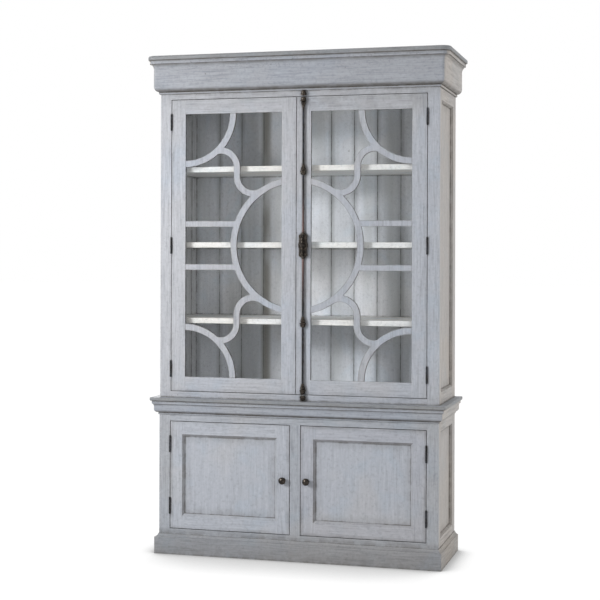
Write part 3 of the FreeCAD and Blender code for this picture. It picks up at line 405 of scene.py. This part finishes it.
class Paint(Material):
    """Brushed paint under a dark glaze, with painted shade laid on in the same dark colour. A face is
    (across, middle, half, up, half_up): its axis, and its middle and half size along that and upwards."""

    def __init__(self, name, tone, grain, members):
        super().__init__(name)
        self.ratio = [mine / usual for mine, usual in zip(linear(tone), linear(PAINT))]
        self.colour = linear(tone)
        self.members = members
        grain_place = self.stretched(grain_scale(grain))
        if members:
            across, middle, half, up, half_up = members
            off_middle = self.apart(across, middle)
            beyond = self.above(self.apart("z", up), half_up)
            is_rail = self.times(self.below(off_middle, half), beyond)
            grain_place = self.mix_places(is_rail, grain_place, self.stretched(grain_scale(across)))
            seam = self.size(self.minus(off_middle, half))
            self.joints = self.times(self.between(seam, *JOINT_LINE), beyond)
        self.coarse = self.noise(grain_place, COARSE_GRAIN)
        self.fine = self.noise(grain_place, FINE_GRAIN)
        self.patches = self.noise(self.place, PATCHES)
        self.uneven = self.between(self.noise(self.place, UNEVEN), *UNEVEN_SHARE)
        self.open_to_air = self.openness(HOLLOW_REACH, HOLLOW_SAMPLES)
        # The share of glaze and painted shade, built up by the steps below.
        self.glaze = 0.0

    def tinted(self, levels):
        """A colour of the usual paint, changed as this paint's tone differs from that."""
        return tuple(value * ratio for value, ratio in zip(linear(levels), self.ratio))

    def cover(self, share, colour):
        """Lays a colour over the paint."""
        self.colour = self.mix(share, self.colour, colour)

    def keep(self, share):
        """Leaves at least this share of glaze and painted shade."""
        self.glaze = self.most(self.glaze, share)

    def held(self, least):
        """An uneven share, from least to all."""
        return self.between(self.uneven, UNEVEN_LEAST, 1.0, least, 1.0)

    def to_edge(self, face):
        """How far inside a face's nearest edge a point lies."""
        across, middle, half, up, half_up = face
        to_side = self.minus(half, self.apart(across, middle))
        return self.least(to_side, self.minus(half_up, self.apart("z", up)))

    def within(self, face, reach):
        """1 inside a face that is larger by reach all round."""
        across, middle, half, up, half_up = face
        in_width = self.below(self.apart(across, middle), half + reach)
        return self.times(in_width, self.below(self.apart("z", up), half_up + reach))

    def brush(self, streak, level_tone, inner_x):
        """Uneven tones and brush strokes."""
        self.cover(self.between(self.patches, *COOL_PATCHES), self.tinted(PAINT_COOL))
        self.cover(self.between(self.noise(self.place, BROAD), *WARM_PATCHES), self.tinted(PAINT_WARM))
        if level_tone:
            self.cover(self.between(self.faces["z"], *LEVEL_FACE), linear(level_tone))
        if inner_x:
            self.cover(self.below(self.size(self.axes["x"]), inner_x), linear(INSIDE_PAINT))
        mottle = self.noise(self.place, MOTTLE)
        strokes = (
            (self.coarse, PALE_COARSE, SHADE_COARSE, streak),
            (self.fine, PALE_FINE, SHADE_FINE, streak),
            (mottle, PALE_MOTTLE, SHADE_MOTTLE, 1.0))
        for noise, pale, shade, times in strokes:
            for (low, high, most), levels in ((pale, PAINT_PALE), (shade, PAINT_SHADE)):
                self.cover(self.between(noise, low, high, 0.0, most * times), self.tinted(levels))

    def lay_boards(self, pitch, first):
        """Upright boards with tones of their own, glaze and painted shade beside their joints, and a painted
        shadow band on their front.
        """
        from_first = self.minus(self.axes["x"], first)
        number = self.math("FLOOR", self.math("DIVIDE", from_first, pitch))
        tone = self.node("ShaderNodeTexWhiteNoise", {"W": number}, noise_dimensions="1D").outputs["Value"]
        self.cover(self.between(tone, *BOARD_TONES), linear(BOARD_DARK))
        bands = self.noise(self.stretched(BAND_SCALE), SOFT)
        self.cover(self.between(bands, *BOARD_BANDS), linear(BOARD_DARK))
        run = self.noise(self.stretched(RUN_SCALE), SOFT)
        # Glaze and painted shade beside each joint.
        from_joint = self.math("PINGPONG", from_first, pitch * HALF)
        beside_joint = self.times(self.between(from_joint, *BESIDE_JOINT), self.between(run, *JOINT_RUN))
        self.cover(beside_joint, linear(BOARD_GLAZE_AND_SHADE))
        # A painted shadow band, on the boards' front only.
        beside_painted_shadow = self.between(self.apart("x", PAINTED_SHADOW_X), *BESIDE_PAINTED_SHADOW)
        beside_painted_shadow = self.times(beside_painted_shadow, self.below(self.faces["y"], BACK_FACE))
        self.cover(self.times(beside_painted_shadow, self.between(run, *PAINTED_SHADOW_RUN)), linear(PAINTED_SHADOW_BAND))

    def glaze_and_shade_hollows(self, hollows, glaze, hold, on_glass):
        """Glaze and painted shade in hollows, by how closed in a point is, but not on a face that lies on the
        glass.
        """
        start, full = hollows
        self.kept = self.held(hold)
        share = self.between(self.open_to_air, start, full, 0.0, min(1.0, HOLLOW_SHARE * glaze))
        self.glaze = self.times(share, self.kept)
        if on_glass:
            self.glaze = self.times(self.glaze, self.below(self.faces["y"], ON_GLASS_FACE))

    def glaze_and_shade_panel(self, face):
        """Glaze and painted shade along a panel's edges, most at the first side and at the top, where the
        recess is shaded.
        """
        across, middle, half, up, half_up = face
        to_edge = self.to_edge(face)
        from_first = self.minus(self.axes[across], middle - half)
        from_top = self.minus(up + half_up, self.axes["z"])
        heavy = self.between(self.least(from_first, from_top), *PANEL_SHADE_HEAVY)
        line = self.most(self.between(to_edge, *PANEL_SHADE_LINE), heavy)
        self.keep(self.times(self.most(line, self.between(to_edge, *PANEL_SHADE_CLOUD)), self.uneven))

    def glaze_rim(self, face, most):
        """Soft glaze along a door's outer edges."""
        soft = self.between(self.to_edge(face), 0.0, RIM_REACH, most, 0.0)
        self.keep(self.times(soft, self.between(self.patches, *RIM_PATCHES)))

    def glaze_and_shade_turned_faces(self, bevels, flanks):
        """Glaze on bevels and flanks, with painted shade where they face right or down, away from the light;
        outside the opening, edge-on faces get paler paint as a painted highlight.
        """
        # Faces that turn right or down, away from the light, get the most painted shade.
        away = self.most(self.faces["x"], self.times(self.faces["z"], -1.0))
        sizes = [self.size(self.faces[axis]) for axis in "xyz"]
        if bevels:
            slanted = self.between(self.most(self.most(sizes[0], sizes[1]), sizes[2]), *BEVEL_FACE)
            share = self.times(slanted, self.between(away, *BEVEL_AWAY, TOWARD_LIGHT_SHARE * bevels, bevels))
            self.keep(self.times(share, self.held(BEVEL_HOLD)))
        if flanks:
            edge_on = self.between(sizes[1], *FLANK_FACE)
            if self.members:
                # Outside the opening the flanks get paler paint as a painted highlight; inside it, glaze and
                # painted shade.
                in_opening = self.within(self.members, EDGE_REACH)
                outside = self.minus(EDGE_LIGHT_SHARE, self.times(in_opening, EDGE_LIGHT_SHARE))
                self.cover(self.times(edge_on, outside), linear(EDGE_PAINTED_LIGHT))
                edge_on = self.times(edge_on, in_opening)
            share = self.times(edge_on, self.between(away, *FLANK_AWAY, TOWARD_LIGHT_SHARE * flanks, flanks))
            self.keep(self.times(share, self.held(FLANK_HOLD)))

    def glaze_spots(self, low, high):
        """Small dark spots, more of them towards the height high."""
        in_band = self.between(self.axes["z"], low, high)
        in_band = self.times(in_band, self.between(self.patches, *SPOT_PATCHES))
        specks = self.noise(self.stretched(SPECK_SCALE), SPECKS)
        self.keep(self.times(self.between(specks, *SPOT_SPECKS), in_band))

    def glaze_outline(self, most):
        """Glaze along the edges of a thin cut shape."""
        room = self.openness(OUTLINE_REACH, OUTLINE_SAMPLES, inside=True)
        near_edge = self.between(room, *OUTLINE_ROOM, 0.0, most)
        self.cover(self.times(near_edge, self.held(OUTLINE_HOLD)), linear(GLAZE_AND_SHADE))

    def surface(self, outline, wear):
        """The paint with its glaze and painted shade, arrises pale from rubbing and as a painted highlight,
        and dents.
        """
        self.cover(self.glaze, linear(GLAZE_AND_SHADE))
        rounded, agree = self.round_edges(ARRIS_RADIUS)
        if outline:
            self.glaze_outline(outline)
        # Arrises pale from rubbing, and also as a painted highlight.
        grain = self.between(self.fine, *ARRIS_GRAIN, ARRIS_RUB_AND_HIGHLIGHT * wear)
        rubbed_and_highlit = self.times(self.between(agree, *ARRIS), grain)
        self.cover(self.times(rubbed_and_highlit, self.between(self.open_to_air, *ARRIS_OPEN)), linear(PRIMER_AND_HIGHLIGHT))
        inputs = {"Vector": self.place, "Scale": DENT_SCALE, "Randomness": 1.0}
        from_dent = self.node("ShaderNodeTexVoronoi", inputs).outputs["Distance"]
        level = self.between(from_dent, *DENT)
        level = self.most(level, self.above(self.patches, DENT_PATCHES))
        self.cover(self.times(self.minus(1.0, level), DENT_GLAZE), linear(GLAZE_AND_SHADE))
        relief = self.plus(self.times(self.coarse, COARSE_RELIEF), self.times(self.fine, FINE_RELIEF))
        relief = self.plus(relief, self.times(level, DENT_RELIEF))
        return self.principled(
            Base_Color=self.colour, Roughness=self.between(self.coarse, *PAINT_ROUGH),
            Normal=self.bump(PAINT_BUMP, relief, rounded), Specular_IOR_Level=PAINT_SPECULAR)


def paint(name, tone=PAINT, grain="z", members=None, streak=STREAK, level_tone=None, inner_x=None,
          boards=None, hollows=HOLLOWS, glaze=1.0, hold=HOLD, under=0.0, darken_to_height=None, panel=None, rim=None,
          bevels=0.0, flanks=0.0, spots=None, outline=0.0, wear=1.0):
    """A paint for one node.

    members is the face of a frame's opening: boards run along grain, and above and below the opening
    across it. streak is the strength of the strokes, level_tone the paint of a board's level top, and
    inner_x how far from the middle the pale paint of the inside reaches.
    boards is the pitch and the first joint of upright boards.
    hollows is how open a corner is where the glaze and painted shade start and where they are full, glaze
    their strength and hold the least of them that stays. under is the painted shade on faces that look down,
    and darken_to_height (full, none, share) a darkening that grows to the height full.
    panel is a panel's sight face, with glaze and painted shade along its edges. rim is a door's face and the
    share of glaze along its outer edges. bevels and flanks are the glaze and painted shade on slanted faces
    and on edges that turn from the light, and spots the low and high end of a band of spots. outline is the
    glaze round a cut shape, and wear how far its arrises are pale from rubbing, also as a painted highlight.
    """
    made = Paint(name, tone, grain, members)
    made.brush(streak, level_tone, inner_x)
    if boards:
        made.lay_boards(*boards)
    made.glaze_and_shade_hollows(hollows, glaze, hold, bool(outline))
    # Painted shade on faces that look down.
    if under:
        faces_down = made.between(made.faces["z"], *FACES_DOWN, 0.0, under)
        made.keep(made.times(faces_down, made.kept))
    # Darker towards a height: painted shade under the cornice at the top, darker towards the bottom below.
    if darken_to_height:
        full, none, share = darken_to_height
        made.keep(made.times(made.between(made.axes["z"], none, full, 0.0, share), made.kept))
    if panel:
        made.glaze_and_shade_panel(panel)
    if rim:
        made.glaze_rim(*rim)
    if members:
        made.keep(made.times(made.joints, made.between(made.patches, *JOINT_PATCHES)))
    if bevels or flanks:
        made.glaze_and_shade_turned_faces(bevels, flanks)
    if spots:
        made.glaze_spots(*spots)
    return made.surface(outline, wear)


def metal(name, base, worn_and_highlight, dark, rough, patch=None):
    """Old metal: dark in its hollows, bright on its arrises from wear and as a painted highlight. patch is
    (colour, z, reach).
    """
    m = Material(name)
    mottle = m.noise(m.place, METAL_MOTTLE)
    specks = m.noise(m.place, METAL_SPECKS)
    colour = m.mix(m.between(mottle, *METAL_DARK), linear(base), linear(dark))
    if patch:
        patch_colour, z_middle, reach = patch
        near = m.between(m.apart("z", z_middle), 0.0, reach, RUST_SHARE, 0.0)
        colour = m.mix(m.times(near, m.between(specks, *RUST_SPECKS)), colour, linear(patch_colour))
    rounded, agree = m.round_edges(METAL_RADIUS)
    # Arrises bright from wear, and also as a painted highlight.
    arris = m.times(m.between(agree, *METAL_ARRIS), m.between(specks, *METAL_ARRIS_SPECKS))
    colour = m.mix(m.times(arris, METAL_WORN_AND_HIGHLIGHT), colour, linear(worn_and_highlight))
    open_to_air = m.openness(METAL_REACH, METAL_SAMPLES)
    colour = m.mix(m.between(open_to_air, *METAL_HOLLOWS), colour, linear(dark))
    height = m.plus(m.times(mottle, METAL_MOTTLE_RELIEF), m.times(specks, METAL_SPECK_RELIEF))
    return m.principled(
        Base_Color=colour, Metallic=METAL_SHINE, Normal=m.bump(METAL_BUMP, height, rounded),
        Roughness=m.between(mottle, *METAL_ROUGH, rough - SMOOTHER, rough + ROUGHER))


def glass(name):
    """Thin old glass: clear, a mirror at a slant on its outer faces, with faint waves."""
    m = Material(name)
    waves = m.noise(m.stretched(WAVE_SCALE), SOFT)
    smudge = m.noise(m.place, SMUDGES)
    normal = m.bump(GLASS_BUMP, waves)
    clear = m.node("ShaderNodeBsdfTransparent", {"Color": GLASS_TINT}).outputs[0]
    mirror = m.node("ShaderNodeBsdfGlossy", {
        "Color": WHITE, "Roughness": m.between(smudge, *GLASS_ROUGH), "Normal": normal}).outputs[0]
    share = m.node("ShaderNodeFresnel", {"IOR": GLASS_IOR, "Normal": normal}).outputs["Fac"]
    share = m.times(share, m.between(smudge, *GLASS_SMUDGE))
    inner_face = m.node("ShaderNodeNewGeometry").outputs["Backfacing"]
    return m.finish(m.mix_shaders(m.times(share, m.minus(1.0, inner_face)), clear, mirror))


def plain_grain(name, tone, dark, axis, across, rough):
    """Bare timber or a moulded shell: a fine grain along axis."""
    m = Material(name)
    scale = tuple(across / PLAIN_GRAIN_LENGTH if key == axis else across for key in "xyz")
    grain = m.noise(m.stretched(scale), PLAIN_GRAIN)
    return m.principled(
        Base_Color=m.mix(m.between(grain, *PLAIN_TONES), linear(tone), linear(dark)),
        Roughness=m.between(grain, *PLAIN_ROUGH, rough - SMOOTHER, rough + SMOOTHER),
        Normal=m.bump(PLAIN_BUMP, grain))


def dress(material, *nodes):
    """Puts the material in every slot of the CAD nodes."""
    for node in nodes:
        mesh_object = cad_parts[node]
        if not mesh_object.data.materials:
            mesh_object.data.materials.append(material)
        for slot in mesh_object.material_slots:
            slot.material = material


def face_of(node, axis="x", lap=0.0):
    """A node's face across axis, smaller by lap all round."""
    low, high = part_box(node)
    spans = []
    for index in ("xyz".index(axis), 2):
        spans += [(low[index] + high[index]) * HALF, (high[index] - low[index]) * HALF - lap]
    return (axis, *spans)


# How far panes and panels reach behind their frames, and the pale inside reaches from the middle.
LAP = 8.5 * MM
INNER_REACH = 666.0 * MM

# Openings of the two face frames: half width, then middle and half height.
OPENING_HALF = 628.0 * MM
CASE_OPENING = ("x", 0.0, OPENING_HALF, 1487.25 * MM, 704.25 * MM)
BASE_OPENING = ("x", 0.0, OPENING_HALF, 381.0 * MM, 260.0 * MM)

# Darkening that grows to a height: painted shade under the cornice at the top of the case and the doors,
# and darker towards the bottom on the base and the plinth. Where it is full, where it ends, and how strong it
# is.
DOOR_TOP_PAINTED_SHADE = {"left": (2190.0 * MM, 2050.0 * MM, 0.13), "right": (2190.0 * MM, 2050.0 * MM, 0.30)}
CASE_TOP_PAINTED_SHADE = (2210.0 * MM, 2150.0 * MM, 0.20)
BASE_FOOT_DARKENING = (100.0 * MM, 132.0 * MM, 0.42)
PLINTH_DARKENING = (0.0, 75.0 * MM, 0.30)

GLASS_DOOR_RIM = 0.20
PANEL_DOOR_RIM = 0.36
# Glaze and painted shade on door flanks and frame bevels that turn from the light.
GLASS_DOOR_FLANKS = 0.7
PANEL_DOOR_FLANKS = 0.6
FRAME_BEVELS = 0.6
FRETWORK = {"flanks": 0.95, "outline": 0.6, "wear": 0.3}
MOULDED = {"hollows": (0.93, 0.62), "hold": 0.75, "glaze": 1.15, "under": 0.75}
SHELF = {"streak": 0.5, "glaze": 0.5}
PANEL_STREAK = 0.72
BOARD_STREAK = 0.4
SOLID_STREAK = 1.1
SPOTS_BELOW_TOP = (75.0 * MM, 12.0 * MM)

for side in SIDES:
    door = "glass_door_" + side
    dress(paint("paint_" + door, members=face_of(door + "_glass", lap=LAP), flanks=GLASS_DOOR_FLANKS,
                rim=(face_of(door + "_frame"), GLASS_DOOR_RIM), darken_to_height=DOOR_TOP_PAINTED_SHADE[side]), door + "_frame")
    dress(paint("paint_fret_" + side, FRETWORK_PAINT, **FRETWORK), door + "_fretwork")
    dress(paint("paint_beads_" + side), door + "_beads")
    door = "panel_door_" + side
    sight = face_of(door + "_panel", lap=LAP)
    dress(paint("paint_" + door, BASE_DOOR_PAINT[side], members=sight, bevels=FRAME_BEVELS,
                flanks=PANEL_DOOR_FLANKS, rim=(face_of(door + "_frame"), PANEL_DOOR_RIM)), door + "_frame")
    dress(paint("paint_panel_" + side, panel=sight, streak=PANEL_STREAK), door + "_panel")
    for part in ("case", "base"):
        side_frame = "%s_side_frame_%s" % (part, side)
        side_panel = "%s_side_panel_%s" % (part, side)
        sight = face_of(side_panel, "y", LAP)
        dress(paint("paint_%s_side_%s" % (part, side), SIDE_PAINT, members=sight, inner_x=INNER_REACH,
                    bevels=FRAME_BEVELS), side_frame)
        dress(paint("paint_" + side_panel, SIDE_PAINT, panel=sight, inner_x=INNER_REACH), side_panel)

dress(paint("paint_case_face", members=CASE_OPENING, darken_to_height=CASE_TOP_PAINTED_SHADE), "case_face_frame")
dress(paint("paint_base_face", BASE_FACE_PAINT, members=BASE_OPENING, darken_to_height=BASE_FOOT_DARKENING),
      "base_face_frame")

cornice_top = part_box("cornice_front")[1][2]
spot_band = [cornice_top - below for below in SPOTS_BELOW_TOP]
dress(paint("paint_cornice", CORNICE_PAINT, "x", spots=spot_band, **MOULDED), "cornice_front")
dress(paint("paint_waist", CORNICE_PAINT, "x", **MOULDED), "waist_moulding_front")
# The edges of the cap and the waist top carry painted shade; their level tops take the true paint.
dress(paint("paint_cap", CAP_SHADED_PAINT, "x", streak=SOLID_STREAK, level_tone=CAP_TOP_PAINT, **MOULDED),
      "cornice_cap", "waist_top")
dress(paint("paint_plinth", PLINTH_PAINT, "x", streak=SOLID_STREAK, darken_to_height=PLINTH_DARKENING), "plinth_front")
cornice_return = paint("paint_cornice_return", SIDE_PAINT, "y", **MOULDED)
plinth_return = paint("paint_plinth_return", PLINTH_SIDE_PAINT, "y")
for side in SIDES:
    dress(cornice_return, "cornice_" + side, "waist_moulding_" + side)
    dress(plinth_return, "plinth_" + side)

dress(paint("paint_back_boards", BOARD_PAINT, boards=(BOARD_PITCH, FIRST_JOINT), streak=BOARD_STREAK),
      "case_back_boards")
dress(paint("paint_base_back", INSIDE_PAINT), "base_back")
dress(paint("paint_inside", INSIDE_PAINT, "x"), "case_floor", "case_roof", "base_floor", "base_shelf")
dress(paint("paint_shelf", SHELF_PAINT, "x", **SHELF), "shelf_lower", "shelf_middle", "shelf_upper")
dress(glass("clear_glass_waved"), "glass_door_left_glass", "glass_door_right_glass")

LOCK_Z = 1487.25 * MM
bronze = metal("bronze_cast", BRONZE, BRONZE_WORN_AND_HIGHLIGHT, BRONZE_DARK, rough=0.27)
rust = (BRONZE_RUST, LOCK_Z, RUST_REACH)
dress(bronze, "cremone_lock", "cremone_handle", "cremone_guides", "cremone_keepers", "cremone_pinion",
      "panel_door_left_knob", "panel_door_right_knob")
dress(metal("bronze_rod", IRON, IRON_WORN, BRONZE_DARK, rough=0.42, patch=rust),
      "cremone_rod_upper", "cremone_rod_lower")
dress(metal("hinge_iron", IRON, IRON_WORN, BRONZE_DARK, rough=0.5), "hinge_leaves_fixed", "hinge_pins",
      "hinge_leaves_glass_door_left", "hinge_leaves_glass_door_right",
      "hinge_leaves_panel_door_left", "hinge_leaves_panel_door_right")
dress(metal("support_nickel", NICKEL, NICKEL, NICKEL_DULL, rough=0.35), "shelf_supports")
dress(plain_grain("dowel_beech", BARE_WOOD, BARE_WOOD_DARK, "z", across=240.0, rough=0.6), "case_dowels")
dress(plain_grain("catch_shell", CATCH_SHELL, CATCH_SHELL_DULL, "x", across=400.0, rough=0.45),
      "magnetic_catches")

# Cast relief on the lock, which sits a little in its face.
lock_low, lock_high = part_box("cremone_lock")
LOCK_X = (lock_low[0] + lock_high[0]) * HALF
LOCK_FACE = lock_low[1]
RELIEF_SINK = 0.4 * MM
DOME_STEPS = 28
DOME_RINGS = 5
RING_STEPS = 40
RING_AROUND = 8
RING = (14.2 * MM, 2.0 * MM, 2.6 * MM)
# Bars and leaves, above and below the spindle: their places and half sizes across and up, and heights.
BAR_POWER = 2.6
BARS = ((0.0, 44.0, 12.5, 1.9, 2.6), (0.0, 38.5, 14.0, 1.7, 2.2), (0.0, 49.6, 8.0, 1.5, 2.0))
LEAF_POWER = 2.0
LEAVES = ((11.0, 27.0, 3.4, 7.6, 3.0), (17.2, 5.5, 2.0, 3.6, 2.2))


def eased(value, power):
    """A sine or cosine that is fuller than a circle's where power is over 2."""
    return math.copysign(abs(value) ** (2.0 / power), value)


def dome(mesh, x, z, half_x, half_z, height, power):
    """A closed low boss on the lock's face, its outline between an ellipse and an oblong."""
    front = LOCK_FACE + RELIEF_SINK
    loops = []
    for level in range(DOME_RINGS):
        angle = QUARTER_TURN * level / DOME_RINGS
        wide, tall = half_x * math.cos(angle), half_z * math.cos(angle)
        y = front - math.sin(angle) * height
        turns = [FULL_TURN * step / DOME_STEPS for step in range(DOME_STEPS)]
        loops.append([mesh.verts.new((
            LOCK_X + x + wide * eased(math.cos(turn), power), y,
            LOCK_Z + z + tall * eased(math.sin(turn), power))) for turn in turns])
    top = mesh.verts.new((LOCK_X + x, front - height, LOCK_Z + z))
    for step in range(DOME_STEPS):
        after = (step + 1) % DOME_STEPS
        for lower, upper in zip(loops, loops[1:]):
            mesh.faces.new((lower[step], lower[after], upper[after], upper[step]))
        mesh.faces.new((loops[-1][step], loops[-1][after], top))
    mesh.faces.new(tuple(reversed(loops[0])))


def ring(mesh, radius, half_width, height):
    """A closed raised ring about the spindle."""
    loops = []
    for step in range(RING_STEPS):
        turn = FULL_TURN * step / RING_STEPS
        loop = []
        for part in range(RING_AROUND):
            angle = FULL_TURN * part / RING_AROUND
            far = radius + half_width * math.cos(angle)
            rise = math.sin(angle)
            y = LOCK_FACE + RELIEF_SINK - rise * (height if rise > 0.0 else -RELIEF_SINK)
            loop.append(mesh.verts.new((LOCK_X + far * math.cos(turn), y, LOCK_Z + far * math.sin(turn))))
        loops.append(loop)
    for step, here in enumerate(loops):
        after = loops[(step + 1) % RING_STEPS]
        for part in range(RING_AROUND):
            other = (part + 1) % RING_AROUND
            mesh.faces.new((here[part], here[other], after[other], after[part]))


relief = bmesh.new()
ring(relief, *RING)
for upward in BOTH_WAYS:
    for x, z, *sizes in BARS:
        dome(relief, x * MM, upward * z * MM, *(size * MM for size in sizes), BAR_POWER)
    for across in BOTH_WAYS:
        for x, z, *sizes in LEAVES:
            dome(relief, across * x * MM, upward * z * MM, *(size * MM for size in sizes), LEAF_POWER)
bmesh.ops.recalc_face_normals(relief, faces=relief.faces)
relief_mesh = bpy.data.meshes.new("cremone_lock_relief")
relief.to_mesh(relief_mesh)
relief.free()
for face in relief_mesh.polygons:
    face.use_smooth = True
lock_relief = bpy.data.objects.new("cremone_lock_relief", relief_mesh)
bpy.context.scene.collection.objects.link(lock_relief)
relief_mesh.materials.append(bronze)
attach(lock_relief, "glass_door_right")

# Floor: glows white where it is seen, but for a painted shadow of the object, and a plain pale surface to the
# light.
FLOOR_HALF = 60.0
FLOOR_PALE = (0.80, 0.80, 0.80, 1.0)
FLOOR_MATT = (0.06, 0.06, 0.06, 1.0)
BACKWARD = (0.0, 0.87, 0.50)
AHEAD_REACH = 0.52
CLOSE_REACH = 0.13
AHEAD_SHADE = (0.05, 0.85, 0.42, 1.0)
CLOSE_SHADE = (0.45, 1.0, 0.36, 1.0)

floor_mesh = bpy.data.meshes.new("studio_floor")
floor_corners = [(x * FLOOR_HALF, y * FLOOR_HALF, 0.0) for x, y in ((-1, -1), (1, -1), (1, 1), (-1, 1))]
floor_mesh.from_pydata(floor_corners, [], [(0, 1, 2, 3)])
floor = bpy.data.objects.new("studio_floor", floor_mesh)
bpy.context.scene.collection.objects.link(floor)
m = Material("studio_floor_white")
# Painted shadow by ambient occlusion: what stands behind and above dims the glow in front of it, and what is
# close dims it all round.
backward = m.node("ShaderNodeCombineXYZ", dict(zip("XYZ", BACKWARD))).outputs["Vector"]
ahead = m.between(m.openness(AHEAD_REACH, FLOOR_SAMPLES, normal=backward), *AHEAD_SHADE)
close = m.between(m.openness(CLOSE_REACH, FLOOR_SAMPLES), *CLOSE_SHADE)
glow = m.node("ShaderNodeEmission", {"Color": WHITE, "Strength": m.least(ahead, close)}).outputs[0]
matt = m.node("ShaderNodeBsdfDiffuse", {"Color": FLOOR_MATT}).outputs[0]
pale = m.node("ShaderNodeBsdfDiffuse", {"Color": FLOOR_PALE}).outputs[0]
white = m.node("ShaderNodeAddShader", {0: matt, 1: glow}).outputs[0]
floor_mesh.materials.append(m.finish(m.mix_shaders(m.seen(), pale, white)))

# World: plain soft light, and white where it is seen.
WORLD_COLOUR = (1.0, 1.0, 0.98, 1.0)
WORLD_LEVEL = 0.20
world = bpy.data.worlds.new("studio_world")
bpy.context.scene.world = world
w = Nodes(world)
world_light = w.node("ShaderNodeBackground", {"Color": WORLD_COLOUR, "Strength": WORLD_LEVEL}).outputs[0]
world_white = w.node("ShaderNodeBackground", {"Color": WHITE, "Strength": 1.0}).outputs[0]
w.node("ShaderNodeOutputWorld", {"Surface": w.mix_shaders(w.seen(), world_light, world_white)})

# Lamps: name, place, what they face, size, watts and colour.
COOL_LIGHT = (0.99, 0.99, 1.0)
WARM_LIGHT = (1.0, 0.972, 0.952)
PLAIN_LIGHT = (1.0, 1.0, 1.0)
LAMPS = (
    ("lamp_near", (-1.6, -1.9, 1.65), (0.0, 0.0, 1.5), 0.45, 14.5, COOL_LIGHT),
    ("lamp_far", (-5.6, -6.0, 3.6), (0.0, 0.0, 1.4), 1.5, 338.0, COOL_LIGHT),
    ("lamp_side", (4.2, 0.6, 2.0), (0.6, 0.0, 1.2), 2.0, 50.0, WARM_LIGHT),
    ("lamp_front", (4.5, -5.7, 2.5), (0.0, 0.0, 1.3), 2.2, 98.0, COOL_LIGHT),
    ("lamp_top", (0.2, -0.5, 5.4), (0.0, 0.0, 2.4), 2.6, 27.0, PLAIN_LIGHT),
    ("lamp_back", (-2.5, 4.5, 3.2), (0.0, 0.3, 1.2), 2.5, 90.0, PLAIN_LIGHT))
NOT_MIRRORED = "lamp_front"

for name, place, target, size, watts, colour in LAMPS:
    lamp_data = bpy.data.lights.new(name, "AREA")
    lamp_data.shape = "SQUARE"
    lamp_data.size = size
    lamp_data.energy = watts
    lamp_data.color = colour
    lamp = bpy.data.objects.new(name, lamp_data)
    lamp.location = place
    lamp.rotation_euler = (Vector(target) - Vector(place)).to_track_quat("-Z", "Y").to_euler()
    lamp.visible_glossy = name != NOT_MIRRORED
    bpy.context.scene.collection.objects.link(lamp)

camera_data = bpy.data.cameras.new("view")
camera_data.sensor_width = SENSOR_WIDTH
camera_data.lens = FOCAL_PIXELS / IMAGE_SIZE * SENSOR_WIDTH
camera_data.shift_y = CAMERA_SHIFT_UP
camera_data.dof.use_dof = False
camera = bpy.data.objects.new("view", camera_data)
camera.location = CAMERA_PLACE
level = Matrix.Rotation(CAMERA_TURN, 3, "Z") @ Matrix.Rotation(QUARTER_TURN, 3, "X")
camera.rotation_euler = (level @ Matrix.Rotation(CAMERA_ROLL, 3, "Z")).to_euler()
bpy.context.scene.collection.objects.link(camera)
bpy.context.scene.camera = camera
bpy.context.scene.view_settings.view_transform = "Standard"
